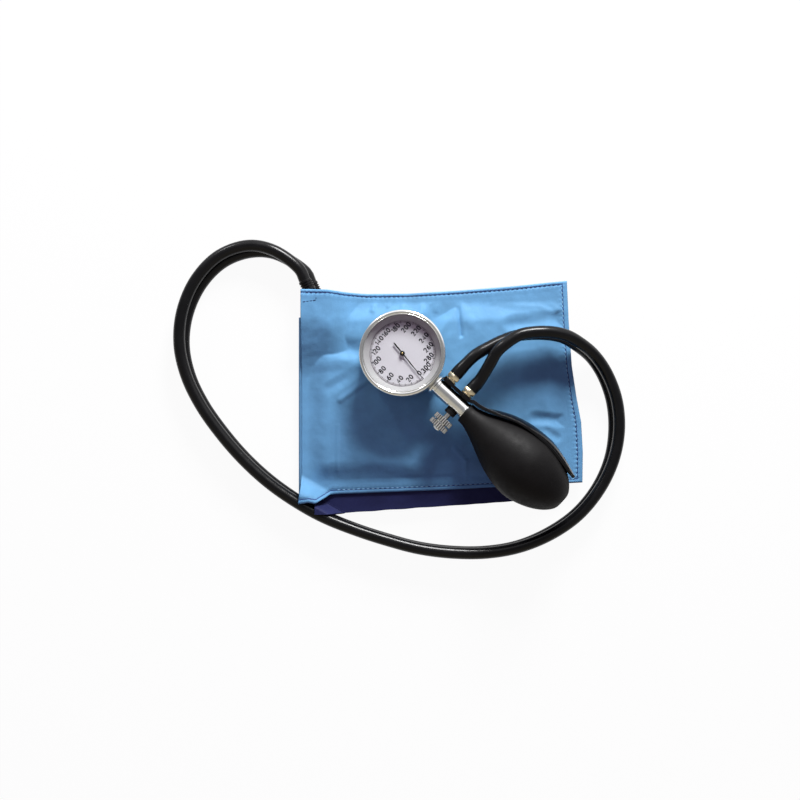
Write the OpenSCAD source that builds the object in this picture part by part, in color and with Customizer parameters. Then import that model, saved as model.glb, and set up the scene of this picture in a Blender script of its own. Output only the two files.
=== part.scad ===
// Palm aneroid blood pressure gauge: dial gauge, release valve and squeeze bulb
// lying on a folded arm cuff, joined to the cuff's bladder by a pair of rubber hoses.
// Millimetres, +Z up. The origin is the middle of the box round the cuff and head,
// on the surface that the folded cuff lies on.

/* [Folded cuff] */
// Height of the cuff's left edge, where the strip is folded, above the middle line
left_top = 76.5; // [74:0.5:79]
// Distance of the left edge from the middle
cuff_left = 99.9; // [98:0.1:101]
// Distance of the top right corner from the middle, sideways
corner_x = 89.6; // [87:0.2:91]
// Height of the top right corner above the middle line
corner_y = 83.2; // [81:0.2:85]
// Distance of the bottom right corner from the middle, sideways
hem_x = 100.7; // [99:0.1:101.5]
// Distance of the bottom right corner below the middle line
hem_y = 60.8; // [58:0.2:63]
// Distance of the bottom left tip below the middle line
tip_y = 75.5; // [74:0.5:77]
// Lowest point of the lower layers below the middle line
under_y = 83.2; // [82:0.2:84]
// Width of the lower layers
under_w = 148; // [140:1:152]
// Thickness of the cover fabric
fabric_t = 0.9; // [0.6:0.1:1.2]
// Thickness of each lower layer of the folded strip
layer_t = 2.2; // [1.6:0.1:2.6]
// Thickness of the hook and loop patches
patch_t = 0.9; // [0.6:0.1:1.1]
// Gap between stacked layers
layer_gap = 0.1; // [0.05:0.05:0.2]
// Rise of the top layer over the bladder
crown = 4.3; // [3:0.1:4.5]
// Width of the hem that stays flat round the bladder
hem_w = 7; // [5:0.5:10]
// Length of the bladder
bladder_len = 172; // [150:2:176]
// Width of the bladder
bladder_w = 116; // [100:2:120]

/* [Hoses] */
// Outer diameter of each hose
hose_od = 8.5; // [8:0.1:9]
// Distance between the middles of the two hoses where they run as a pair
hose_pitch = 8.8; // [8.8:0.1:9.4]
// Outer diameter of the ribbed sleeve on each bladder tube
sleeve_od = 9.3; // [9:0.1:9.6]
// Length of the ribbed sleeve
sleeve_len = 8; // [6:0.5:9]
// Diameter of the spigot inside the sleeve and the hose
spigot_d = 5.2; // [4.6:0.1:5.6]

/* [Head] */
// Turn of the head on the cuff, clockwise seen from above
head_turn = 42.6; // [40:0.2:46]
// Length of the stepped collar between the neck and the gauge
collar_len = 3.4; // [3.2:0.1:4]

/* [Gauge] */
// Outer diameter of the bezel
bezel_d = 60; // [59:0.2:61]
// Depth of the case behind the stem's axis
case_back = 13; // [12.8:0.1:13.2]
// Height of the bezel's face above the stem's axis
face_h = 15; // [14.8:0.1:15.4]
// Thickness of the case wall
case_wall = 1.6; // [1.2:0.1:1.8]
// Width of the sloped ring round the visible dial
rim_w = 4.3; // [4:0.1:5]
// Thickness of the lens
lens_t = 1.4; // [1:0.1:1.6]
// Distance from the pointer's tip to the edge of the visible dial
pointer_short = 1.1; // [0.8:0.1:3]
// Length of the pointer's tail
pointer_tail = 9.5; // [7:0.5:11]
// Module of the gear teeth
gear_m = 0.3; // [0.3:0.01:0.31]
// Room between the pressure capsule and the case wall
capsule_room = 8.4; // [8:0.2:10]

/* [Valve and neck] */
// Diameter of the chrome neck
neck_d = 11.5; // [11:0.1:12]
// Length of the chrome neck
neck_len = 25.5; // [25:0.1:26]
// Distance of the hose fitting nearer the bulb from the neck's bulb end
fitting_a_at = 7.4; // [6.8:0.1:8]
// Distance of the hose fitting nearer the gauge from the neck's bulb end
fitting_b_at = 22.4; // [21.8:0.1:22.6]
// Diameter of the threaded hole for each fitting
fitting_thread_d = 5; // [4.6:0.1:5.2]
// Width across the flats of each fitting's hexagon
hex_af = 8.7; // [8:0.1:9]
// Diameter of the release knob
knob_d = 14.5; // [13:0.5:16]
// Length of the release knob
knob_len = 8.4; // [7:0.2:9]
// Diameter of the release screw
screw_d = 4; // [3.6:0.1:4.2]
// Opening of the release valve as it lies
rest_opening = 0.6; // [0.4:0.1:0.8]

/* [Bulb and lever] */
// Greatest diameter of the bulb
bulb_d = 48.6; // [46:0.2:49]
// Diameter of the bulb's neck
bulb_neck_d = 15.2; // [14.6:0.2:16]
// Length of the bulb
bulb_len = 91.2; // [89:0.2:93]
// Wall thickness of the bulb
bulb_wall = 2.6; // [2:0.1:3]
// Distance of the bulb's axis from the neck's axis, away from the lever
bulb_shift = 0.6; // [0.4:0.1:1]
// Width of the palm lever along the neck
lever_w = 11.4; // [11:0.1:13]
// Width of the palm lever over the bulb's belly
spoon_w = 27; // [22:0.5:28]
// Thickness of the lever along the neck
lever_t = 2.5; // [2.2:0.1:2.8]
// Thickness of the lever beside the bulb
lever_thin_t = 1.8; // [1.6:0.1:2.2]
// Length of the lever past the neck's bulb end
lever_reach = 86; // [80:0.5:88]

/* [Hidden] */
$fn = 64;

// Clearances: a running fit, a part that drops into its place, and pieces that only lie near
run_gap = 0.05;
seat_gap = 0.05;
near_gap = 0.3;

// Levels of the folded stack, from the table up
loop_z = layer_t + layer_gap;
hook_z = loop_z + patch_t + layer_gap;
middle_z = hook_z + patch_t + layer_gap;
inner_z = middle_z + layer_t + layer_gap;
seam_z = inner_z + fabric_t + layer_gap;
left_fold_r = (seam_z + fabric_t - middle_z) / 2;
right_fold_r = (middle_z + layer_t) / 2;

// Outline of the top layer: its right and bottom edges bow, so each has a few points
right_edge = [[0, hem_x], [0.15, hem_x + 0.3], [0.3, hem_x - 0.9], [0.42, hem_x - 4.2],
              [0.58, corner_x + 3.5], [0.8, corner_x + 1.3], [1, corner_x]];
bottom_edge = [[0, -tip_y], [0.035, -hem_y - 13.7], [0.06, -hem_y - 14.5], [0.11, -hem_y - 8.5],
               [0.5, -hem_y - 5.4], [1, -hem_y]];
// How far the left tip stands out past the left edge
tip_out = 1.6;
// Dip of the top edge below a straight line between its corners
top_sag = [[0, 0], [0.1, -1], [0.16, -2.8], [0.25, -4.4], [0.4, -5.1], [0.6, -4.2], [0.8, -2.5],
           [0.92, -0.9], [1, 0]];
// Distance of the bladder's end from the cuff's left edge, and its middle
bladder_inset = 10.9;
bladder_mid = [-cuff_left + bladder_inset + bladder_len / 2, 4];

// Right fold of the lower layers, and the corner cut away where the hoses pass
fold_top = [corner_x - 4.4, corner_y - 11];
fold_foot = [hem_x - 6.7, -under_y + 25.2];
under_tip = [-74, -under_y];
hose_corner_y = -70;
port_notch = [-80, 57];
// Front edge of the lower layers, from the hoses' corner round to the right fold
under_front = [[-cuff_left, hose_corner_y], [-92, -under_y + 8.2], [-83, -under_y + 3], under_tip,
               [53, -under_y + 8.8], [85, -under_y + 11.8], [91, -under_y + 22.2]];
// The left fold ends this far short of the hoses' corner
left_fold_short = 2.5;

// The main folds of the top layer: start, end, half width and depth of each valley
creases = [
    [[6, 74], [-10, 52], 5, 1.5],
    [[9, 74], [15, 42], 3.5, 1.1],
    [[-22, 75], [-27, 58], 4, 0.9],
    [[-46, 76], [-50, 61], 4, 0.8],
    [[62, 74], [84, 66], 4, 0.9],
    [[66, -14], [92, -20], 5, 1.0]
];

// Hose routes: the pair as [x, y, height of its underside, lean from upright], then the ends
pair_route = [
    [54, 43.5, 22, 0], [71, 45, 20.5, 8], [85, 43, 17.5, 10], [97, 37, 11, 12], [108, 28.5, 4, 12],
    [117, 15.5, 0.5, 14], [123.5, -3, 0, 16], [125, -24, 0, 15], [121.3, -45, 0, 9], [111.8, -65.4, 0, 5],
    [96.8, -83.6, 0, 4], [77.3, -97.2, 0, 3], [55, -106.5, 0, 0], [32, -110.5, 0, 0], [8, -110.5, 0, 0],
    [-16, -107.5, 0, 0], [-39, -101.5, 0, 0], [-62, -94, 0, 0], [-84, -85, 0, 2], [-104, -73.5, 0, 6],
    [-123, -60, 0, 7], [-141, -43.5, 0, 7], [-157, -25, 0, 8], [-171, -5, 0, 8], [-181, 16, 0, 9],
    [-185.5, 38, 0, 13], [-183, 61, 0, 20], [-173, 83, 0, 27], [-157, 99, 0, 31], [-137, 106, 0, 26],
    [-119, 103.5, 0.5, 8]
];
head_a_route = [[32.5, 22.5, 34.7], [38, 32, 36.4], [45.5, 38.5, 36.2]];
head_b_route = [[23, 29.5, 31.3], [33.5, 35.5, 29], [44, 40.5, 26.9]];
port_a_mouth = [-97.2, 83, 13.8];
port_b_mouth = [-93.4, 81.8, 4.9];
port_dir = [0.42, -0.91, 0] / norm([0.42, -0.91, 0]);
hose_sides = 10;

// Head: neck, lever and fittings, in the head's own frame with +X towards the bulb's tail
// The head lies on the cuff's crown with the bulb's belly and the gauge's lower rim.
neck_r = neck_d / 2;
belly_at = 57;
boss_reach = bezel_d / 2 + 0.15;
gauge_reach = neck_len + collar_len + boss_reach + seat_gap;
head_tilt = atan((bulb_d / 2 - case_back) / (belly_at + gauge_reach + bezel_d / 2));
crown_z = seam_z + fabric_t + crown;
head_z = crown_z + near_gap + bulb_d / 2 * cos(head_tilt) - belly_at * sin(head_tilt);
head_at = [16, -10, head_z];
lever_in = neck_r + 0.1;
seal_t = 0.5;
flange_t = 1;
fitting_gap_t = 0.6;
hex_t = 3.4;
seal_n = lever_in + lever_t;
flange_n = seal_n + seal_t;
hex_n = flange_n + flange_t + fitting_gap_t;
hose_n = hex_n + hex_t;
hose_grip = 8;
thread_n = 2.2;
gauge_bore_r = 1.6;
chamber_r = 1.8;
spigot_bore_r = 3;
spigot_r = 5;
barb_r = 5.6;
spigot_len = 14;
stem_r = 4;
bulb_neck_len = 2;
tail_r = 5.8;

// Release valve, measured outwards from the neck's axis
seat_n = 3.2;
bonnet_r = 3;
bonnet_flange_n = neck_r + 0.8;
bonnet_end_n = 9.2;
plug_len = 1.4;
knob_in_n = 13.1;
knob_end_n = knob_in_n + knob_len;
knob_teeth = 24;
cap_t = 1.5;

// Valves at the bulb's two ends
disc_r = 2.2;
disc_t = 0.8;
seat_hole_r = 1.2;
outlet_seat_at = 9;
seat_t = 2;
inlet_r = 4;
inlet_bore_r = 2.8;
inlet_seat_at = bulb_len - 2.7;
inlet_seat_t = 1.5;

// Gauge: heights above the stem's axis, radii from the dial's middle
bezel_r = bezel_d / 2;
case_r = bezel_r - 1;
case_in_r = case_r - case_wall;
dial_r = case_in_r - rim_w;
pointer_len = dial_r - pointer_short;
back_in = -case_back + 1.8;
lens_top = face_h - 0.9;
lens_z = lens_top - lens_t;
case_top = lens_z - 0.8;
ledge_z = 7.8;
ledge_t = 1;
ledge_in_r = case_in_r - 2.9;
dial_t = 0.5;
boss_r = 6.6;
bezel_foot = 7;
pointer_z = 9.4;
pointer_t = 0.4;
dial_zero = -8.5;
base_z = -1.6;
plate_t = 1;
top_z = 5;
plate_r = case_in_r - 3.4;
pillar_r = plate_r - 4;
gear_z = 3.6;
gear_t = 0.8;
arbor_r = 0.5;

// Gear train: a 12-tooth pinion and a sector cut from a 96-tooth wheel
pinion_teeth = 12;
sector_teeth = 96;
sector_swing = 42.6;
pressure_angle = 20;
gear_addendum = 0.7;
gear_dedendum = 1;
gear_backlash = 0.08;
pinion_r = gear_m * pinion_teeth / 2;
sector_r = gear_m * sector_teeth / 2;
centre_dist = pinion_r + sector_r;

// Rocking shaft: the capsule's post lifts its short arm, its blade pushes the sector's tail
shaft_x = 2.4;
shaft_z = 0.9;
shaft_r = 0.6;
arm_t = 0.7;
arm_drop = 0.25;
blade_t = 0.6;
blade_top = 3.3;
tail_len = 1.65;
tail_pin_r = 0.35;
sector_x = shaft_x + blade_t / 2 + 0.08 + tail_pin_r + tail_len * sin(sector_swing / 2);
sector_y = -sqrt(centre_dist * centre_dist - sector_x * sector_x);
mesh_angle = atan2(-sector_y, -sector_x);
blade_y = sector_y - tail_len;
post_top = shaft_z - arm_drop - arm_t / 2 - 0.1;
capsule_z = -9.4;
capsule_h = 4.8;
capsule_wall = 0.4;
pillar_spots = [90, 200, 330];
post_spots = [30, 150, 270];
bridge_z = 2.4;

function mix(a, b, t) = a + (b - a) * t;
function clamp01(t) = min(1, max(0, t));
function smooth(t) = let (c = clamp01(t)) c * c * (3 - 2 * c);
function unit(v) = v / norm(v);

// Surface of the top layer

// A point of the top layer's outline patch, from 0 to 1 across and up
function sheet_xy(a, b) = [
    mix(-cuff_left - tip_out * smooth(1 - b / 0.09), lookup(b, right_edge), a),
    mix(lookup(a, bottom_edge), mix(left_top, corner_y, a) + lookup(a, top_sag), b)
];

// Height over the bladder, falling to nothing at the hem
function bladder_rise(p) =
    let (dx = (bladder_len / 2 + hem_w - abs(p[0] - bladder_mid[0])) / 16)
    let (dy = (bladder_w / 2 + hem_w - abs(p[1] - bladder_mid[1])) / 16)
    crown * smooth(dx) * smooth(dy);

// Distance from a crease line, and the valley that it draws
function along(p, q, r) = clamp01(((r - p) * (q - p)) / ((q - p) * (q - p)));
function crease_dist(c, r) = norm(r - mix(c[0], c[1], along(c[0], c[1], r)));
function crease_dip(r) = max([for (c = creases) c[3] * smooth(1 - crease_dist(c, r) / c[2])]);

// The corner lies over the hoses: full rise at the pair, none well inside
pair_top = hose_od + hose_pitch;
function hose_side(r) = (r[0] + 94) * 0.5 + (r[1] + 79.25) * 0.87;
function hose_rise(r) = (pair_top + flap_t + 2 * near_gap - seam_z) * smooth((18.5 - hose_side(r)) / 13);
function port_rise(r) = (port_a_mouth[2] + sleeve_od / 2 + near_gap - seam_z)
    * smooth((-56 - r[0]) / 26) * smooth((r[1] - 12) / 46);

// Underside of the top layer's cover at a point
function cover_z(r) = seam_z + max(max(0, bladder_rise(r) - crease_dip(r)), hose_rise(r), port_rise(r));

// Lining of the middle layer's corner, which climbs over the hoses: left end, right end, rise and thickness
flap_from = -90;
flap_to = -69;
flap_t = 1;
flap_foot_z = middle_z + layer_t - 0.3;
function flap_low(r) = flap_foot_z + (pair_top + near_gap - flap_foot_z) * smooth((9 - hose_side(r)) / 6);
function flap_inner_y(x) = (10 - (x + 94) * 0.5) / 0.87 - 79.25;
flap_spot = function(i, j) let (x = mix(flap_from, flap_to, i / 12)) [x, mix(-under_y + 0.2, flap_inner_y(x), j / 8)];

// A closed skin between two surfaces over the same grid of points
module skin(cols, rows, spot, low, high) {
    pts = [for (side = [0, 1], j = [0:rows], i = [0:cols])
        let (p = spot(i, j)) [p[0], p[1], side == 0 ? low(p) : high(p)]];
    n = (cols + 1) * (rows + 1);
    w = cols + 1;
    tops = [for (j = [0:rows - 1], i = [0:cols - 1], k = [0, 1])
        let (a = j * w + i + n) k == 0 ? [a, a + w + 1, a + 1] : [a, a + w, a + w + 1]];
    bottoms = [for (j = [0:rows - 1], i = [0:cols - 1], k = [0, 1])
        let (a = j * w + i) k == 0 ? [a, a + 1, a + w + 1] : [a, a + w + 1, a + w]];
    rim = concat(
        [for (i = [0:cols - 1]) i],
        [for (j = [0:rows - 1]) j * w + cols],
        [for (i = [cols:-1:1]) rows * w + i],
        [for (j = [rows:-1:1]) j * w]);
    m = len(rim);
    walls = [for (i = [0:m - 1], k = [0, 1])
        let (a = rim[i], b = rim[(i + 1) % m]) k == 0 ? [a, b + n, b] : [a, a + n, b + n]];
    polyhedron(pts, concat(tops, bottoms, walls), convexity = 6);
}

sheet_cols = 27;
sheet_rows = 19;
sheet_spot = function(i, j) sheet_xy(pow(i / sheet_cols, 1.2), pow(j / sheet_rows, 1.05));
cover_low = function(p) cover_z(p);
cover_high = function(p) cover_z(p) + fabric_t;

module cuff_outer_sheet() {
    color([0.42, 0.66, 0.82])
        skin(sheet_cols, sheet_rows, sheet_spot, cover_low, cover_high);
}

// The top layer's own back, cut back where the hoses and the bladder's ports pass
module cuff_inner_sheet() {
    color([0.3, 0.42, 0.6]) translate([0, 0, inner_z]) linear_extrude(fabric_t)
        polygon([
            [-cuff_left + 0.1, port_notch[1]], [-cuff_left + 0.1, hose_corner_y + 1.5],
            [-78, -hem_y - 7.5], [5, -hem_y - 5.2], [hem_x - 1.5, -hem_y + 0.4],
            [hem_x - 2.2, -20], [corner_x + 1.9, 22],
            for (a = [0.99, 0.92, 0.8, 0.6, 0.4, 0.25, 0.16]) sheet_xy(a, 1) - [0, 1],
            [port_notch[0], left_top - 1.6], port_notch
        ]);
}

// Outline of a lower layer, whose right edge stops short of the fold by inset
module under_outline(inset) {
    d = unit(fold_top - fold_foot);
    back = [-d[1], d[0]] * inset;
    polygon([
        [-cuff_left, port_notch[1]], each under_front, fold_foot + back, fold_top + back,
        [port_notch[0], -under_y + under_w], port_notch
    ]);
}

// Half-round edge of a fold between two points, bulging to the right of the way along
module fold_edge(from, to, radius, z) {
    run = to - from;
    translate([from[0], from[1], z]) rotate([0, 0, atan2(run[1], run[0])])
        rotate([90, 0, 90]) linear_extrude(norm(run)) difference() {
            circle(r = radius);
            translate([0, -radius - 1]) square([radius + 1, 2 * radius + 2]);
        }
}

module cuff_middle_layer() {
    color([0.2, 0.22, 0.45]) {
        translate([0, 0, middle_z]) linear_extrude(layer_t) under_outline(0.2);
        fold_edge([-cuff_left, port_notch[1]], [-cuff_left, hose_corner_y + left_fold_short],
            left_fold_r, middle_z + left_fold_r);
        skin(12, 8, flap_spot, function(r) flap_low(r), function(r) flap_low(r) + flap_t);
    }
}

module cuff_bottom_layer() {
    color([0.17, 0.18, 0.4]) {
        linear_extrude(layer_t) under_outline(0);
        fold_edge(fold_foot, fold_top, right_fold_r, right_fold_r);
    }
}

module hook_patch() {
    corner = bladder_mid - [bladder_len * 0.37, bladder_w / 2 + 4];
    color([0.12, 0.12, 0.14]) translate([each corner, hook_z])
        cube([bladder_len * 0.35, bladder_w - 12, patch_t]);
}

module loop_patch() {
    corner = bladder_mid - [bladder_len / 2 - 17, bladder_w / 2 + 8];
    color([0.16, 0.17, 0.3]) translate([each corner, loop_z]) cube([bladder_len - 32, bladder_w - 4, patch_t]);
}

// Bladder and its ports

bladder_cols = 16;
bladder_rows = 10;
bladder_spot = function(i, j) [
    bladder_mid[0] + bladder_len * (i / bladder_cols - 0.5) * (1 - 0.06 * pow(2 * j / bladder_rows - 1, 4)),
    bladder_mid[1] + bladder_w * (j / bladder_rows - 0.5) * (1 - 0.06 * pow(2 * i / bladder_cols - 1, 4))
];
bladder_low = function(p) seam_z;
bladder_high = function(p) max(seam_z + 0.4, min(
    seam_z + bladder_rise(p), cover_z(p), cover_z(p + [4, 0]), cover_z(p - [4, 0]),
    cover_z(p + [0, 4]), cover_z(p - [0, 4])) - 0.5);

module bladder() {
    color([0.14, 0.14, 0.15])
        skin(bladder_cols, bladder_rows, bladder_spot, bladder_low, bladder_high);
}

spigot_r_hose = spigot_d / 2;
port_depth = sleeve_len + 5;

// Carries its children from +Z at the origin to a start point and direction
module aim(start, dir) {
    translate(start) rotate([0, acos(dir[2] / norm(dir)), atan2(dir[1], dir[0])]) children();
}

// The neck block: its near corner, its length and width, and its rubber above the upper port
neck_corner = [-cuff_left + 2.9, port_notch[1] + 2.5, 0.5];
neck_size = [15, 13];
neck_over = 2.1;

// The moulded rubber block where both tubes join the bladder, folded round the cuff's edge
module bladder_neck() {
    color([0.12, 0.12, 0.13]) difference() {
        translate(neck_corner) cube([each neck_size, port_a_mouth[2] + neck_over]);
        for (mouth = [port_a_mouth, port_b_mouth])
            aim(mouth + port_dir * sleeve_len, port_dir)
                translate([0, 0, -4]) cylinder(r = spigot_r_hose + seat_gap, h = 4 + port_depth - sleeve_len + 0.1);
    }
}

module bladder_port(mouth) {
    groove_step = sleeve_len / 4;
    color([0.1, 0.1, 0.11]) aim(mouth, port_dir) rotate_extrude() difference() {
        union() {
            square([sleeve_od / 2, sleeve_len]);
            square([spigot_r_hose, port_depth]);
        }
        for (k = [1:3]) translate([sleeve_od / 2 - 0.4, k * groove_step - 0.35]) square([1, 0.7]);
    }
}

module bladder_port_a() { bladder_port(port_a_mouth); }
module bladder_port_b() { bladder_port(port_b_mouth); }

// Hoses: two tubes swept along one route, one above the other

// Place and heading of the hose fitting that stands at a distance along the neck
function head_point(v) =
    let (x = v[0] * cos(head_tilt) - v[2] * sin(head_tilt), z = v[0] * sin(head_tilt) + v[2] * cos(head_tilt))
    head_at + [x * cos(head_turn) + v[1] * sin(head_turn), v[1] * cos(head_turn) - x * sin(head_turn), z];

function pair_side(i) =
    let (a = pair_route[max(i - 1, 0)], b = pair_route[min(i + 1, len(pair_route) - 1)])
    let (t = unit([b[0] - a[0], b[1] - a[1]])) [-t[1], t[0], 0];

// How much further apart two level points lie than the hoses, where the pair climbs
function pair_steep(i) =
    let (a = pair_route[max(i - 1, 0)], b = pair_route[min(i + 1, len(pair_route) - 1)])
    let (run = norm([b[0] - a[0], b[1] - a[1]])) norm([run, b[2] - a[2]]) / run;

// Middle of the upper (1) or lower (-1) hose at a station of the pair
function pair_point(i, which) =
    let (s = pair_route[i], half = hose_pitch / 2)
    [s[0], s[1], s[2] + hose_od / 2 + half * cos(s[3])]
    + which * half * ([0, 0, cos(s[3]) * pair_steep(i)] + pair_side(i) * sin(s[3]));

function hose_route(at, which, own, mouth) = concat(
    [head_point([-at, hose_n, 0]), head_point([-at, hose_n + hose_od, 0])],
    own,
    [for (i = [0:len(pair_route) - 1]) pair_point(i, which)],
    [mouth - port_dir * hose_od, mouth]);

// Heading of the route at a point, square to the fittings at both ends
function heading(route, i, last_dir) =
    i == 0 ? unit(route[1] - route[0])
    : i == len(route) - 1 ? last_dir
    : unit(unit(route[i + 1] - route[i]) + unit(route[i] - route[i - 1]));

module swept_tube(route, last_dir, radius, sides) {
    n = len(route);
    pts = [for (i = [0:n - 1]) let (
            t = heading(route, i, last_dir),
            across = unit(cross(t, [0, 0, 1])),
            up = cross(across, t)
        ) for (k = [0:sides - 1])
            route[i] + radius * (cos(360 * k / sides) * across + sin(360 * k / sides) * up)];
    ring = function(i) [for (k = [0:sides - 1]) i * sides + k];
    walls = [for (i = [0:n - 2], k = [0:sides - 1], half = [0, 1])
        let (a = i * sides + k, b = i * sides + (k + 1) % sides)
        half == 0 ? [a, b, b + sides] : [a, b + sides, a + sides]];
    fan = function(r) [for (k = [1:sides - 2]) [r[0], r[k], r[k + 1]]];
    last = ring(n - 1);
    back = [for (k = [0:sides - 1]) ring(0)[sides - 1 - k]];
    polyhedron(pts, concat(walls, fan(last), fan(back)), convexity = 8);
}

module hose_a() {
    color([0.07, 0.07, 0.08])
        swept_tube(hose_route(fitting_a_at, 1, head_a_route, port_a_mouth), port_dir, hose_od / 2, hose_sides);
}

module hose_b() {
    color([0.07, 0.07, 0.08])
        swept_tube(hose_route(fitting_b_at, -1, head_b_route, port_b_mouth), port_dir, hose_od / 2, hose_sides);
}

// Head: frames of the neck, of the gauge, and of a shape that stands on the neck's side

module head() {
    translate(head_at) rotate([0, -head_tilt, -head_turn]) children();
}

module gauge() {
    head() translate([-gauge_reach, 0, 0]) children();
}

module along_neck(at) { translate([at, 0, 0]) rotate([0, 90, 0]) children(); }
module lever_side(at) { translate([-at, 0, 0]) rotate([-90, 0, 0]) children(); }
module knob_side() { translate([-fitting_a_at, 0, 0]) rotate([90, 0, 0]) children(); }
module on_bulb(at) { translate([at, -bulb_shift, 0]) rotate([0, 90, 0]) children(); }

module hose_fitting(at) {
    color([0.78, 0.7, 0.52]) head() lever_side(at) difference() {
        union() {
            translate([0, 0, thread_n]) cylinder(d = fitting_thread_d - 2 * seat_gap, h = flange_n - thread_n + 0.5);
            translate([0, 0, flange_n]) cylinder(d = hex_af + 0.6, h = flange_t);
            translate([0, 0, flange_n]) cylinder(d = hex_af - 1.6, h = hex_n - flange_n + 0.2);
            translate([0, 0, hex_n]) cylinder(d = hex_af / cos(30), h = hex_t, $fn = 6);
            translate([0, 0, hex_n]) cylinder(d = spigot_d, h = hex_t + hose_grip);
        }
        translate([0, 0, thread_n - 1]) cylinder(r = 1.3, h = hose_n + hose_grip);
    }
}

module hose_fitting_a() { hose_fitting(fitting_a_at); }
module hose_fitting_b() { hose_fitting(fitting_b_at); }

module fitting_seals() {
    color([0.05, 0.05, 0.05]) head() for (at = [fitting_a_at, fitting_b_at])
        lever_side(at) translate([0, 0, seal_n]) difference() {
            cylinder(d = hex_af, h = seal_t);
            translate([0, 0, -1]) cylinder(d = fitting_thread_d + 2 * seat_gap, h = seal_t + 2);
        }
}

// Outer radius of the bulb at a distance from its mouth
swell_power = 0.79;
tail_power = 1.6;
tail_axis = (bulb_len - belly_at) / pow(1 - pow(2 * tail_r / bulb_d, 2), 1 / tail_power);
function bulb_swell(u) = pow(clamp01((u - bulb_neck_len) / (belly_at - bulb_neck_len)), swell_power);
function bulb_r(u) =
    u < belly_at ? mix(bulb_neck_d / 2, bulb_d / 2, 0.5 - 0.5 * cos(180 * bulb_swell(u)))
    : bulb_d / 2 * sqrt(1 - pow((u - belly_at) / tail_axis, tail_power));

// Palm lever: a flat plate along the neck that turns into a spoon round the bulb

// Gap between the bulb and the inner face of the spoon's middle line, as [distance past the neck, gap]
spoon_gap = [
    [-0.3, 0.5], [3, 0.63], [8, 0.39], [11, 1.35], [15, 2.32], [20, 2.98], [26, 3.14], [33, 2.5], [40, 1.61],
    [46, 0.95], [52, 0.52], [58, 0.29], [64, 0.37], [70, 0.57], [75, 1.02], [80, 1.91], [86, 4.04]
];
rise_from = -3;
rise_to = -0.3;
function over_bulb(u) = bulb_r(max(u, 0)) - bulb_shift + lookup(u, spoon_gap);
function spoon_line(u) = mix(lever_in, over_bulb(max(u, rise_to)), clamp01((u - rise_from) / (rise_to - rise_from)));
spoon_half = [
    [-27, lever_w / 2 - 2], [-26, lever_w / 2 - 0.9], [-24, lever_w / 2], [-3, lever_w / 2],
    [12, lever_w / 2 + 3.4], [26, spoon_w / 2 - 3], [38, spoon_w / 2 - 1.4],
    [52, spoon_w / 2], [62, spoon_w / 2 - 0.2], [72, spoon_w / 2 - 2.2], [79, spoon_w / 2 - 4.9],
    [83, spoon_w / 2 - 7.6], [85, spoon_w / 2 - 10], [lever_reach, 1.2]
];
spoon_stations = [-27, -26, -24, -15, -3, -1.5, -0.3, 4, 8, 11, 14, 17, 20, 23, 26, 29.5, 33, 36.5, 40,
                  43, 46, 49, 52, 55, 58, 61, 64, 67, 70, 72.5, 75, 77.5, 80, 83, 85, lever_reach];
spoon_rows = 8;

function lever_thick(u) = mix(lever_t, lever_thin_t, smooth(u / 30));
function spoon_bend(u) = smooth((u - 5) / 18) / (spoon_line(u) + bulb_shift);
function spoon_n(p) =
    let (k = spoon_bend(p[0]))
    spoon_line(p[0]) - (k > 0 ? 1 / k - sqrt(1 / (k * k) - p[1] * p[1]) : 0);

spoon_spot = function(i, j) let (u = spoon_stations[i])
    [u, lookup(u, spoon_half) * (2 * j / spoon_rows - 1)];
spoon_low = function(p) spoon_n(p);
spoon_high = function(p) spoon_n(p) + lever_thick(p[0]);

module palm_lever() {
    color([0.06, 0.06, 0.07]) head() difference() {
        rotate([-90, 0, 0]) skin(len(spoon_stations) - 1, spoon_rows, spoon_spot, spoon_low, spoon_high);
        for (at = [fitting_a_at, fitting_b_at])
            lever_side(at) cylinder(d = fitting_thread_d + 2 * seat_gap, h = hose_n);
    }
}

module valve_body() {
    color([0.8, 0.8, 0.82]) head() difference() {
        union() {
            along_neck(-neck_len) cylinder(r = neck_r, h = neck_len);
            along_neck(-1.2) cylinder(r = neck_r + 0.5, h = 1.2);
            along_neck(-gauge_reach + case_in_r - 4.6)
                cylinder(r = stem_r, h = gauge_reach - case_in_r + 4.6 - neck_len + 1);
            on_bulb(-0.2) cylinder(r = spigot_r, h = spigot_len + 0.2);
            for (at = [5, 10]) on_bulb(at) cylinder(r1 = barb_r, r2 = spigot_r, h = 2.5);
        }
        along_neck(-gauge_reach + case_in_r - 5) cylinder(r = gauge_bore_r, h = gauge_reach - case_in_r + 5 - fitting_b_at + 2);
        along_neck(-fitting_a_at - 4) cylinder(r = chamber_r, h = fitting_a_at + 4);
        on_bulb(-3) cylinder(r = spigot_bore_r, h = spigot_len + 4);
        for (at = [fitting_a_at, fitting_b_at])
            lever_side(at) cylinder(d = fitting_thread_d, h = neck_r + 1);
        knob_side() cylinder(r = seat_hole_r, h = neck_r);
        knob_side() translate([0, 0, seat_n]) cylinder(r = bonnet_r + seat_gap, h = neck_r);
    }
}

// A flat ring on the bulb's axis
module bulb_ring(at, outer, inner, thick) {
    head() on_bulb(at) difference() {
        cylinder(r = outer, h = thick);
        translate([0, 0, -1]) cylinder(r = inner, h = thick + 2);
    }
}

module outlet_seat() {
    color("goldenrod") bulb_ring(outlet_seat_at, spigot_bore_r - seat_gap, seat_hole_r, seat_t);
}

module outlet_disc() {
    color([0.5, 0.2, 0.15]) head() on_bulb(outlet_seat_at - disc_t - 0.1) cylinder(r = disc_r, h = disc_t);
}

module outlet_cage() {
    color("goldenrod") bulb_ring(outlet_seat_at - 3.4, spigot_bore_r - seat_gap, disc_r - 0.7, 1);
}

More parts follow.
